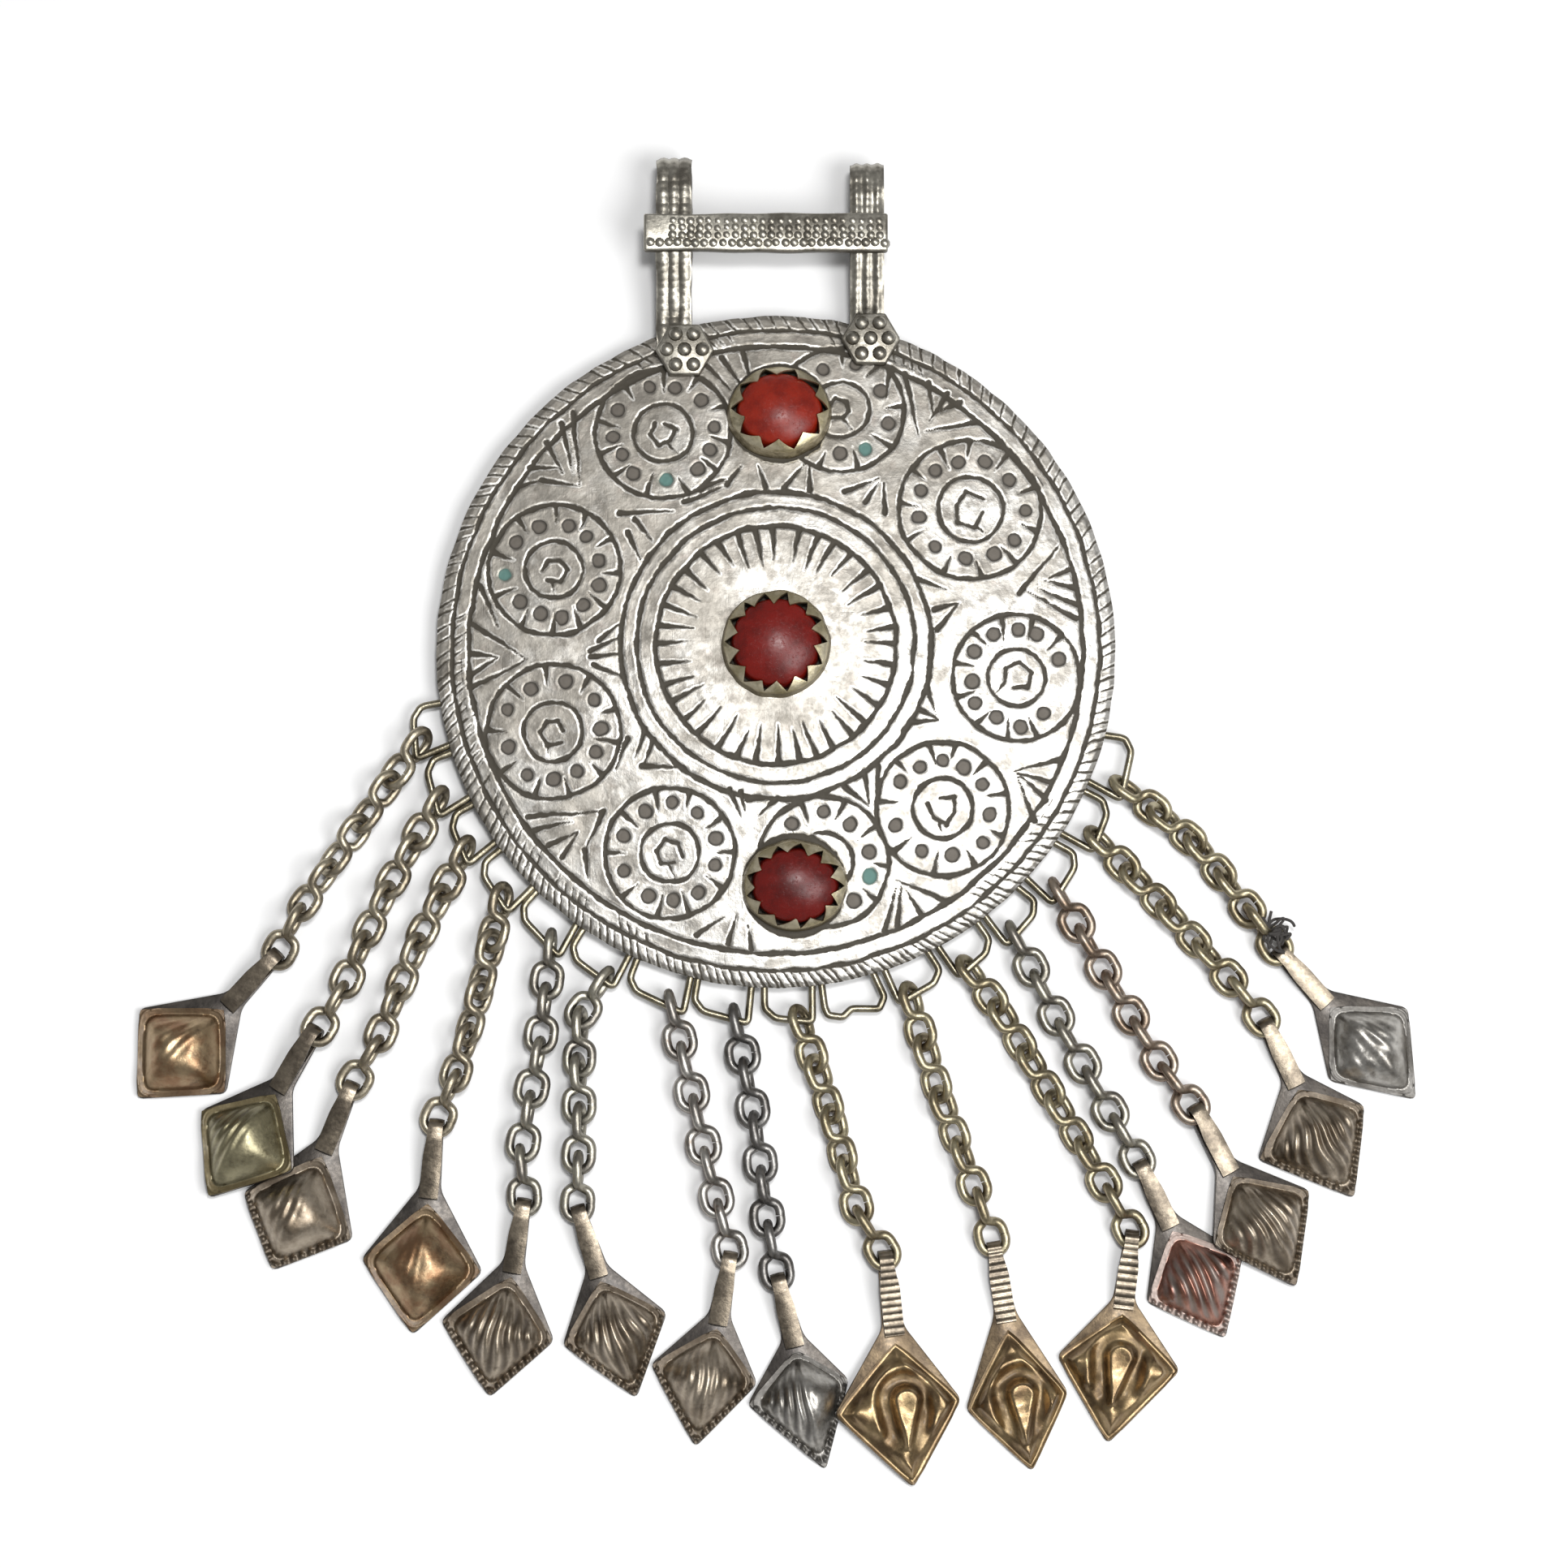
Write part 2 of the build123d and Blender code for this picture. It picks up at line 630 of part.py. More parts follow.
# The pieces, each under its own name
pieces = {"disc_with_hanger": pendant()}
cabochon = stone()
for name, setting in SETTINGS.items():
    pieces[name] = set_stone(setting, cabochon)
link = figure_eight()
for number in CHAINS:
    pieces[f"chain_{number:02d}"] = chain(number, link)
for number in CHAINS:
    body = drop(number)
    with BuildPart() as lying:
        with Locations(drop_plane(number)):
            add(body.part)
    pieces[f"drop_{number:02d}"] = lying

# The whole box stands on its bottom centre
boxes = [piece.part.bounding_box() for piece in pieces.values()]
middle_x = (min(box.min.X for box in boxes) + max(box.max.X for box in boxes)) / 2
middle_y = (min(box.min.Y for box in boxes) + max(box.max.Y for box in boxes)) / 2
lowest = min(box.min.Z for box in boxes)
to_origin = Location((-middle_x, -middle_y, -lowest))

os.makedirs("parts", exist_ok=True)
for name, piece in pieces.items():
    piece.part.move(to_origin)
    piece.part.label = name
    export_step(piece.part, f"parts/{name}.step")
print(f"disc centre at {-middle_x:.3f}, {-middle_y:.3f}, floor {-lowest:.3f}")
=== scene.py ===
# %% [markdown]
# A tribal silver pendant, lying face up. A domed silver disc is engraved by hand
# with circles, rosettes and leaves. It carries three red glass stones, a hanger
# of two strap loops and a beaded bar, and sixteen wire loops round its lower
# rim. Fifteen link chains hang from those and end in puffed diamond drops.
# The solid pieces come packed in one frame, and this lesson dresses them.

# %% Load the frame
import json
from collections import namedtuple
from math import cos, degrees, dist, hypot, log, pi, radians, sin, sqrt

import bmesh
import bpy
import numpy as np
from mathutils import Matrix, Vector

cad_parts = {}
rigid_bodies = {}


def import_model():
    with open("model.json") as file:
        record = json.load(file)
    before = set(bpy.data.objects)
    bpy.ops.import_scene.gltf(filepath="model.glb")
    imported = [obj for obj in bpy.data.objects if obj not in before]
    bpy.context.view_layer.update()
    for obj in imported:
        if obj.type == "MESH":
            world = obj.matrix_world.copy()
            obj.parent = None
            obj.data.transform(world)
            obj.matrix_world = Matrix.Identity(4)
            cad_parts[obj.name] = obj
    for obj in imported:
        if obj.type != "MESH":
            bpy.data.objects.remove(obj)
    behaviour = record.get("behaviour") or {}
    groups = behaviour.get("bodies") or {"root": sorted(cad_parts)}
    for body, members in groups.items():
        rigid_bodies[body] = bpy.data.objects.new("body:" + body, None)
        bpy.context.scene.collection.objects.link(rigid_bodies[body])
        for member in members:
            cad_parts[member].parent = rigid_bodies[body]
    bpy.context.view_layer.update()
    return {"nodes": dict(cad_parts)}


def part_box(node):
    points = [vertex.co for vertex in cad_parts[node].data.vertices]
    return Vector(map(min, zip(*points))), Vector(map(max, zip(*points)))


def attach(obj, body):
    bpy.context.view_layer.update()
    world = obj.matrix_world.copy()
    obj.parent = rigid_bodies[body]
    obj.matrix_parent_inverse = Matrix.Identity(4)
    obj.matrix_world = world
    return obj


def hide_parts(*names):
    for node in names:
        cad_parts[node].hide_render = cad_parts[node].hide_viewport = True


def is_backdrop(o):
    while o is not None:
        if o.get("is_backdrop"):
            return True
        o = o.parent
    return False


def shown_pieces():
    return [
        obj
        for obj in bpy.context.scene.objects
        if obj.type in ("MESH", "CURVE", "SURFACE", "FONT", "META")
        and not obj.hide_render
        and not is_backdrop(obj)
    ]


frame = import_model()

print(len(frame["nodes"]), "solids in the frame")

# %% [markdown]
# Everything below is worked out in millimetres about the middle of the disc,
# because a jeweller measures a round piece from its centre. The centre stone
# stands exactly there, so the frame says where that is. One helper turns each
# finished shape to metres, moves it into the frame and hides the solids it
# stands for.

# %% Where the disc is, and how a piece is finished
MM = 0.001
WELD = 1e-4
low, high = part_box("stone_centre")
DISC_CENTRE = Vector(((low.x + high.x) / 2, (low.y + high.y) / 2, 0))
SILVER = "disc_with_hanger"


def add_object(name, data):
    """Put a mesh, curve, light or camera in the scene."""
    made = bpy.data.objects.new(name, data)
    bpy.context.scene.collection.objects.link(made)
    return made


def make_piece(bm, name, material, slot, *nodes, crease=50, at=None):
    """Turn a shape in millimetres into a finished piece, set down at its place."""
    if at is not None:
        bmesh.ops.transform(bm, matrix=at, verts=bm.verts)
    bmesh.ops.scale(bm, vec=(MM, MM, MM), verts=bm.verts)
    bmesh.ops.translate(bm, vec=DISC_CENTRE, verts=bm.verts)
    mesh = bpy.data.meshes.new(name)
    bm.to_mesh(mesh)
    bm.free()
    mesh.shade_smooth()
    mesh.set_sharp_from_angle(angle=radians(crease))
    mesh.materials.append(material)
    piece = add_object(name, mesh)
    # Each vertex stores how far it faces up; the alloys read it to paint shade on sideways faces,
    # away from the light overhead.
    facing = np.zeros(3 * len(mesh.vertices), np.float32)
    mesh.vertices.foreach_get("normal", facing)
    paint(piece, "up", facing[2::3])
    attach(piece, "root")
    if nodes:
        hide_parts(*nodes)
    return piece


def paint(piece, name, values):
    """Store one number for each vertex, for a material to read."""
    attribute = piece.data.attributes.new(name, "FLOAT", "POINT")
    attribute.data.foreach_set("value", np.asarray(values, np.float32))


def verts_of(made):
    """The vertices among the parts that an operator made."""
    return [part for part in made["geom"] if isinstance(part, bmesh.types.BMVert)]


def face_out(bm):
    """Turn every face outwards."""
    bmesh.ops.recalc_face_normals(bm, faces=bm.faces)
    return bm


def settle(bm):
    """Join the vertices that fall together and turn every face outwards."""
    bmesh.ops.remove_doubles(bm, verts=bm.verts, dist=WELD)
    return face_out(bm)


def thicken(bm, sheet):
    """Give a bent surface the thickness of its sheet."""
    face_out(bm)
    bmesh.ops.solidify(bm, geom=bm.faces[:], thickness=sheet)
    return face_out(bm)


def round_edges(bm, edges, radius, segments=3):
    """Round some edges off."""
    bmesh.ops.bevel(bm, geom=edges, offset=radius, offset_type="OFFSET", segments=segments,
                    profile=0.5, affect="EDGES", material=-1)


def places(bm):
    """The vertices of a shape as three columns."""
    return np.array([v.co for v in bm.verts]).reshape(-1, 3)


def move_to(bm, x, y, z):
    """Give every vertex its new place."""
    for vert, place in zip(bm.verts, zip(x, y, z)):
        vert.co = place


print(f"disc centre at {DISC_CENTRE.x * 1000:.2f}, {DISC_CENTRE.y * 1000:.2f} mm")

# %% [markdown]
# Nothing that is cut, bent and soldered by hand is even. A sum of a few long
# sine waves in random directions gives a smooth unevenness. It needs no image,
# and a fixed seed makes it the same on every run.

# %% Unevenness made of sine waves
WAVES = 9


def uneven(x, y, size, seed):
    """A smooth unevenness between about -1 and 1, with waves of a size in mm."""
    rng = np.random.default_rng(seed)
    total = 0
    for _ in range(WAVES):
        heading, phase = rng.uniform(0, 2 * pi, 2)
        pace = 2 * pi / (size * rng.uniform(0.7, 1.6))
        total = total + np.sin(pace * (x * cos(heading) + y * sin(heading)) + phase)
    return total / sqrt(WAVES)


def ease(values, start, end):
    """A soft step from 0 at start to 1 at end."""
    t = np.clip((values - start) / (end - start), 0, 1)
    return t * t * (3 - 2 * t)


print("unevenness at the centre:", round(float(uneven(0.0, 0.0, 5, 1)), 3))

# %% [markdown]
# Materials come before the shapes, so that each piece can take its own. A
# material is a small net of nodes. One function adds a node, sets it and links
# its inputs, which keeps each recipe short enough to read as a recipe.

# %% Node helper and colours
def linear(code):
    """An sRGB hex colour as the linear colour that a shader takes."""
    parts = [int(code[i:i + 2], 16) / 255 for i in (1, 3, 5)]
    return (*[c / 12.92 if c <= 0.04045 else ((c + 0.055) / 1.055) ** 2.4 for c in parts], 1)


def node(tree, kind, inputs=(), **settings):
    """Add a node, set its properties, and fill or link its inputs."""
    made = tree.nodes.new(kind)
    for key, value in settings.items():
        setattr(made, key, value)
    for key, value in dict(inputs).items():
        if isinstance(value, bpy.types.NodeSocket):
            tree.links.new(value, made.inputs[key])
        else:
            made.inputs[key].default_value = value
    return made


def new_material(name, **fixed):
    """A material with a shader whose fixed values are set on its own sockets."""
    material = bpy.data.materials.new(name)
    material.use_nodes = True
    tree = material.node_tree
    shader = tree.nodes["Principled BSDF"]
    for key, value in fixed.items():
        shader.inputs[key.replace("_", " ")].default_value = value
    return material, tree, shader


def feed(tree, shader, **sources):
    """Link what a recipe made to sockets of its shader."""
    for key, source in sources.items():
        tree.links.new(source, shader.inputs[key.replace("_", " ")])


def noise(tree, size, detail=3, rough=0.55, stretch=(1, 1, 1), turn=0):
    """Clouds as large as size, in millimetres, on the piece's own coordinates."""
    where = node(tree, "ShaderNodeTexCoord").outputs["Object"]
    if stretch != (1, 1, 1) or turn:
        where = node(tree, "ShaderNodeMapping", {
            "Vector": where, "Scale": stretch, "Rotation": (0, 0, radians(turn)),
        }).outputs["Vector"]
    return node(tree, "ShaderNodeTexNoise", {
        "Vector": where, "Scale": 1 / (size * MM), "Detail": detail, "Roughness": rough,
    }).outputs["Fac"]


def band(tree, value, start, end, low=0.0, high=1.0):
    """Turn a value into a soft step from low to high between start and end."""
    return node(tree, "ShaderNodeMapRange", {
        "Value": value, "From Min": start, "From Max": end, "To Min": low, "To Max": high,
    }, interpolation_type="SMOOTHSTEP").outputs["Result"]


def blend(tree, share, first, second, how="MIX"):
    """Mix two colours, or put the second over the first in some other way."""
    return node(tree, "ShaderNodeMix", {0: share, 6: first, 7: second},
                data_type="RGBA", blend_type=how, clamp_factor=True).outputs[2]


def maths(tree, operation, first, second=0.0):
    """One sum on numbers."""
    return node(tree, "ShaderNodeMath", {0: first, 1: second},
                operation=operation).outputs[0]


def bumps(tree, *layers):
    """Fine relief in layers, each a height, a depth in millimetres and a strength."""
    under = {}
    for height, depth, strength in layers:
        made = node(tree, "ShaderNodeBump", {
            "Height": height, "Distance": depth * MM, "Strength": strength, **under})
        under = {"Normal": made.outputs["Normal"]}
    return under["Normal"]


def stored(tree, name):
    """What a piece stores at its vertices under a name."""
    return node(tree, "ShaderNodeAttribute", attribute_name=name).outputs["Fac"]


print("patina brown in linear light:", [round(c, 3) for c in linear("#4a4538")[:3]])

# %% [markdown]
# Old engraved silver shows a warm grey tarnish on its broad surface, in soft
# clouds some 10 mm wide, and black-brown dirt in its cuts that nobody can reach.
# Light is painted over these: a painted highlight in patches just outside the
# edges of the cuts, where the raised burrs would catch the light, and a painted
# shade that darkens the disc towards the upper left and leaves it lighter towards
# the lower right. The piece stores how far each vertex lies inside a cut, so a
# soft step on that number draws a crisp edge of dirt, finer than the mesh itself.

# %% Engraved silver
# bright and dull are clean and tarnished silver, and also the lit and shaded ends of a painted
# shade gradient.
SILVER_TONES = {
    "bright": "#d3d1cc", "dull": "#aaa59c", "blush": "#a3958c", "stain": "#8a857d",
    "film": "#7d776c", "burr_highlight": "#efece6", "verdigris": "#84988a", "dirt": "#443f36",
    "dot_edge": "#3f3b35", "dot_floor": "#69635b", "green_dot": "#5d8079",
}


def engraved_silver():
    """Tarnished silver with dirt in its cuts and punched dots, a painted highlight and painted
    shade.
    """
    material, tree, shader = new_material("engraved_worn_silver_painted_light")
    tone = {name: linear(code) for name, code in SILVER_TONES.items()}
    clouds = noise(tree, 9, 4, 0.62)
    blush = noise(tree, 2.4, 5, 0.7, turn=30)
    grain = noise(tree, 0.8, 4, 0.65)
    pits = noise(tree, 0.25, 2, 0.6)
    cut, dot = stored(tree, "cut"), stored(tree, "dot")
    ragged = band(tree, grain, 0.25, 0.75, -0.06, 0.06)
    edge = maths(tree, "ADD", cut, ragged)
    dirt = band(tree, edge, -0.06, 0.05)
    film = band(tree, edge, -0.5, -0.02)
    dot_edge = maths(tree, "ADD", dot, maths(tree, "MULTIPLY", ragged, 0.6))
    punched = band(tree, dot_edge, -0.04, 0.04)
    # Painted shade: the stored gradient darkens the silver towards the upper left; the clouds add
    # real tarnish.
    tarnish_and_shade = maths(tree, "ADD", stored(tree, "tarnish_and_shade"), band(tree, clouds, 0.3, 0.7, -0.4, 0.4))
    green = band(tree, maths(tree, "ADD", stored(tree, "verdigris"), ragged), 0.25, 0.75)
    # Painted highlight: near-white, in patches, just outside the edges of the cuts.
    burr_highlight = maths(tree, "MULTIPLY", band(tree, edge, -0.26, -0.14), band(tree, blush, 0.4, 0.6))
    silver = blend(tree, band(tree, tarnish_and_shade, 0.0, 1.0), tone["bright"], tone["dull"])
    for share, name in [
            (band(tree, blush, 0.5, 0.74, 0, 0.4), "blush"),
            (band(tree, noise(tree, 2.6, 3, 0.6), 0.46, 0.64, 0, 0.8), "stain"),
            (band(tree, grain, 0.52, 0.8, 0, 0.4), "film"),
            (maths(tree, "MULTIPLY", film, 0.3), "film"),
            (burr_highlight, "burr_highlight"),
            (maths(tree, "MULTIPLY", green, 0.35), "verdigris")]:
        silver = blend(tree, share, silver, tone[name])
    dots = blend(tree, band(tree, dot, 0.02, 0.4), tone["dot_edge"], tone["dot_floor"])
    dots = blend(tree, green, dots, tone["green_dot"])
    colour = blend(tree, dirt, blend(tree, punched, silver, dots), tone["dirt"])
    filth = maths(tree, "MAXIMUM", dirt, maths(tree, "MULTIPLY", punched, 0.85))
    rough = maths(tree, "ADD", band(tree, tarnish_and_shade, 0.0, 1.0, 0.4, 0.5),
                  band(tree, grain, 0.3, 0.8, 0.0, 0.12))
    scratch = noise(tree, 0.35, 2, 0.6, stretch=(1, 0.06, 1), turn=35)
    other = noise(tree, 0.3, 2, 0.6, stretch=(0.05, 1, 1), turn=-20)
    marks = maths(tree, "ADD", band(tree, scratch, 0.6, 0.75), band(tree, other, 0.62, 0.78))
    feed(tree, shader, Base_Color=colour,
         Metallic=band(tree, filth, 0.0, 1.0, 1.0, 0.12),
         Roughness=maths(tree, "ADD", rough, maths(tree, "MULTIPLY", filth, 0.3)),
         Normal=bumps(tree, (noise(tree, 1.7, 2, 0.5), 0.12, 0.8), (grain, 0.05, 0.8),
                      (pits, 0.02, 0.7), (marks, -0.012, 0.6)))
    return material


ENGRAVED = engraved_silver()
print("made", ENGRAVED.name)

# %% [markdown]
# The other metals are one recipe in several alloys. Drawn wire and thin rolled
# sheet have a base colour, a film that gathers in clouds, a few warm or dark
# stains, and a surface that is never quite smooth. The stain colour also paints
# shade on every part that faces sideways, away from the light overhead, and
# darkens what a piece stores as hollow. Each alloy is one row.

# %% Wire and sheet alloys
Alloy = namedtuple("Alloy", "bright film stain rough")
WIRE_ALLOYS = {
    "olive_brass_wire": Alloy("#b3aa96", "#8c8270", "#5a5042", 0.36),
    "grey_wire": Alloy("#aeaa9c", "#87827a", "#55514a", 0.36),
    "silver_wire": Alloy("#b5b2ac", "#8b8680", "#66503f", 0.36),
    "gunmetal_wire": Alloy("#8d8b88", "#686562", "#403d3a", 0.36),
    "brass_wire": Alloy("#b0a78c", "#8c8169", "#62503c", 0.36),
    "copper_grey_wire": Alloy("#a99c8e", "#837262", "#664838", 0.38),
    "loop_wire": Alloy("#98917e", "#736c5b", "#48422f", 0.3),
}
SHEET_ALLOYS = {
    "golden_sheet": Alloy("#a58f70", "#87674a", "#4d4032", 0.36),
    "olive_sheet": Alloy("#9d9679", "#7b755c", "#56492f", 0.38),
    "nickel_sheet": Alloy("#a99d8c", "#807362", "#4a4035", 0.36),
    "silver_sheet": Alloy("#b5b2ac", "#85817a", "#45423f", 0.33),
    "brass_sheet": Alloy("#a08a66", "#776247", "#473824", 0.33),
    "copper_sheet": Alloy("#a07565", "#7c5043", "#938c86", 0.36),
    "backing_sheet": Alloy("#56514c", "#403c39", "#302a24", 0.4),
    "brown_backing": Alloy("#75654f", "#574a3b", "#3d3226", 0.38),
    "bail_sheet": Alloy("#8d8272", "#645b4f", "#3d362c", 0.32),
    "hanger_silver": Alloy("#aaa69b", "#7f7a70", "#5c574d", 0.34),
    "bezel_brass": Alloy("#ddd3b8", "#b3a885", "#6a5f45", 0.36),
}


def alloy_material(name, alloy, side_shade_range, recess_and_shade=0.0):
    """A tarnished alloy, with painted shade where it faces sideways, and darker where it stores
    hollows and painted shade.
    """
    material, tree, shader = new_material(
        name, Metallic=1.0, Coat_Weight=0.3 if recess_and_shade else 0.0, Coat_Roughness=0.3)
    clouds = noise(tree, 3.2, 4, 0.6)
    stains = noise(tree, 2.1, 5, 0.65, turn=40)
    grain = noise(tree, 0.45, 3, 0.6)
    colour = blend(tree, band(tree, clouds, 0.38, 0.64), linear(alloy.bright), linear(alloy.film))
    colour = blend(tree, band(tree, stains, 0.55, 0.72, 0, 0.6), colour, linear(alloy.stain))
    # Painted shade: where a face turns sideways, away from the light overhead, the stain colour is
    # laid over it.
    up = maths(tree, "ADD", stored(tree, "up"), band(tree, grain, 0.2, 0.8, -0.08, 0.08))
    side = band(tree, up, *side_shade_range, 1.0, 0.0)
    colour = blend(tree, side, colour, linear(alloy.stain))
    rough = band(tree, grain, 0.25, 0.8, alloy.rough - 0.04, alloy.rough + 0.14)
    if recess_and_shade:
        # The stored hollows hold dirt in the flutes, the moat and round the beads, and painted
        # shade on a drop's flat border.
        hollow_dirt_and_shade = band(tree, stored(tree, "hollow_dirt_and_shade"), 0.1, 1.0, 0, recess_and_shade)
        colour = blend(tree, hollow_dirt_and_shade, colour, linear(alloy.stain))
        rough = maths(tree, "ADD", rough, maths(tree, "MULTIPLY", hollow_dirt_and_shade, 0.2))
    feed(tree, shader, Base_Color=colour,
         Roughness=maths(tree, "ADD", rough, maths(tree, "MULTIPLY", side, 0.25)),
         Normal=bumps(tree, (noise(tree, 1.3, 3, 0.6), 0.06, 0.6), (grain, 0.03, 0.8)))
    return material


# The range gives the upward share of a face over which side shade is painted; the sheets' last
# number is how far hollows and painted shade darken them.
WIRES = {name: alloy_material(name, row, (-0.1, 0.62)) for name, row in WIRE_ALLOYS.items()}
SHEETS = {name: alloy_material(name, row, (0.05, 0.55), 0.8) for name, row in SHEET_ALLOYS.items()}
print("made", len(WIRES), "wires and", len(SHEETS), "sheets")

# %% [markdown]
# The stones are pressed red glass, rubbed dull by long wear. Light enters such
# glass a little and comes back deep red, so a strong red base with some light
# spread under the surface serves better than clear glass. The worn skin is half
# matt, with tiny pits, under one broad pale highlight.

# %% Red glass
def red_glass(name, light, deep):
    """Worn pressed glass, semi-matt and pitted."""
    material, tree, shader = new_material(
        name, IOR=1.5, Specular_IOR_Level=0.35, Subsurface_Weight=0.2,
        Subsurface_Scale=1.5 * MM)
    shader.inputs["Subsurface Radius"].default_value = (1.0, 0.18, 0.12)
    clouds = noise(tree, 2.6, 4, 0.6)
    pits = noise(tree, 0.4, 3, 0.7)
    colour = blend(tree, band(tree, clouds, 0.35, 0.68), linear(light), linear(deep))
    feed(tree, shader, Base_Color=colour, Roughness=band(tree, pits, 0.3, 0.8, 0.3, 0.45),
         Normal=bumps(tree, (noise(tree, 1.5, 2), 0.08, 0.5),
                      (band(tree, pits, 0.55, 0.75), -0.03, 0.5)))
    return material


GLASS = {
    "stone_top": red_glass("red_glass_bright", "#86200f", "#6a150a"),
    "stone_centre": red_glass("red_glass_deep", "#6d110a", "#540c07"),
    "stone_bottom": red_glass("red_glass_dark", "#620f0a", "#4a0a07"),
}
print("made", len(GLASS), "glasses")

# %% [markdown]
# The disc is a thin sheet, hammered to a shallow dome: part of a sphere 230 mm
# in radius. Its edge stands a little above the ground, on the wire loops.

# %% Disc sizes and dome
LINK_WIRE = 1.1
EYE_RADIUS = 1.6
EYE_STRAIGHT = 0.74
WAIST_OVERLAP = 0.28
LINK_LENGTH = 2 * (2 * EYE_RADIUS + EYE_STRAIGHT) - WAIST_OVERLAP
LOOSE_GAP = 0.10
FLOOR_GAP = 0.08
LINK_PITCH = LINK_LENGTH - LINK_WIRE - LOOSE_GAP
EYE_CENTRE = EYE_RADIUS + EYE_STRAIGHT / 2
LOOP_WIRE = 0.86
LOOP_HEIGHT = EYE_RADIUS * sin(pi / 4) + LINK_WIRE / 2 + LOOSE_GAP
DISC_RADIUS = 40.0
SHEET = 1.0
DOME_RISE = 3.5
RIM_UNDERSIDE = LOOP_HEIGHT + LOOP_WIRE / 2 - 0.28
RIM_TOP = RIM_UNDERSIDE + SHEET
DOME_SPHERE = (DISC_RADIUS**2 + DOME_RISE**2) / (2 * DOME_RISE)


def dome_height(r):
    """Height of the disc's upper face at a distance r from its centre."""
    drop = sqrt(DOME_SPHERE**2 - DISC_RADIUS**2)
    return RIM_TOP + np.sqrt(DOME_SPHERE**2 - np.square(r)) - drop


print(f"the dome rises from {RIM_TOP:.2f} to {float(dome_height(0)):.2f} mm")

# %% [markdown]
# The pattern is a plan of cuts, as an engraver lays it out: rings struck with
# dividers, wedges pushed with a graver that enter deep and leave thin, and round
# punched dots. It could be a picture wrapped on the dome, but real cuts catch
# the light, so each one is kept as a shape that knows its distance.

# %% The engraver's marks
Ring = namedtuple("Ring", "x y radius wide")
Wedge = namedtuple("Wedge", "x1 y1 x2 y2 wide thin")
Dot = namedtuple("Dot", "x y radius green")
rings, wedges, dots = [], [], []
PLAIN_RINGS = [(38.1, 0.5), (36.1, 0.6), (18.2, 0.62), (16.3, 0.55), (14.1, 0.6)]
TICKS = 36
TICK_CUT = 0.8


def polar(x, y, angle, reach):
    """A point at an angle in degrees and a distance from x, y."""
    return x + reach * cos(radians(angle)), y + reach * sin(radians(angle))


def cut_wedge(start, end, wide, thin=0.12):
    """A graver's cut from its wide start to its thin end."""
    wedges.append(Wedge(*start, *end, wide, thin))


rng = np.random.default_rng(7)
for radius, wide in PLAIN_RINGS:
    rings.append(Ring(0, 0, radius, wide))
for i in range(TICKS):
    angle = 360 / TICKS * i + rng.uniform(-1.6, 1.6)
    cut_wedge(polar(0, 0, angle, 14.0),
              polar(0, 0, angle + rng.uniform(-1.5, 1.5), rng.uniform(9.3, 10.7)), TICK_CUT)
print(len(rings), "rings and", len(wedges), "ticks round the middle")

# %% [markdown]
# Nine rosettes ring the middle. Each is two circles with dots punched between
# them and a wedge between each two dots. They were laid out by eye, so each has
# its own place, size and spacing of dots.

# %% Rosettes
Rosette = namedtuple("Rosette", "x y outer inner motif dots green")
ROSETTES = [
    Rosette(-13.3, 25.5, 8.0, 3.5, 1.5, (6, 42, 76, 106, 152, 184, 209, 235, 274, 312, 338), 274),
    Rosette(7.6, 28.3, 7.6, 3.4, 1.4, (27, 71, 112, 232, 269, 302, 344), 302),
    Rosette(22.9, 16.3, 8.4, 3.9, 2.0, (0, 39, 73, 104, 131, 159, 190, 228, 264, 297, 325), None),
    Rosette(28.2, -3.7, 7.5, 3.4, 1.7, (24, 65, 87, 117, 149, 186, 212, 243, 275, 308), None),
    Rosette(19.5, -19.2, 7.8, 3.5, 1.8, (32, 63, 90, 118, 148, 200, 243, 282, 320, 353), None),
    Rosette(5.6, -25.5, 7.6, 3.4, 1.6, (13, 55, 90, 130, 308, 343), 343),
    Rosette(-12.4, -24.4, 7.6, 3.4, 1.6, (17, 55, 87, 121, 159, 201, 244, 274, 306, 345), None),
    Rosette(-26.1, -10.1, 7.9, 3.5, 1.5, (2, 37, 76, 117, 154, 198, 239, 271, 301, 334), None),
    Rosette(-26.1, 9.1, 7.8, 3.4, 1.5, (10, 46, 73, 109, 143, 184, 223, 254, 280, 309, 340), 184),
]
DOT_RADIUS = 0.88
MOTIF_CUTS = 5
MOTIF_TURN = 61
MOTIF_SPAN = 66
CIRCLE_CUTS = {"outer": 0.54, "inner": 0.52}
WEDGE_CUT = 0.74


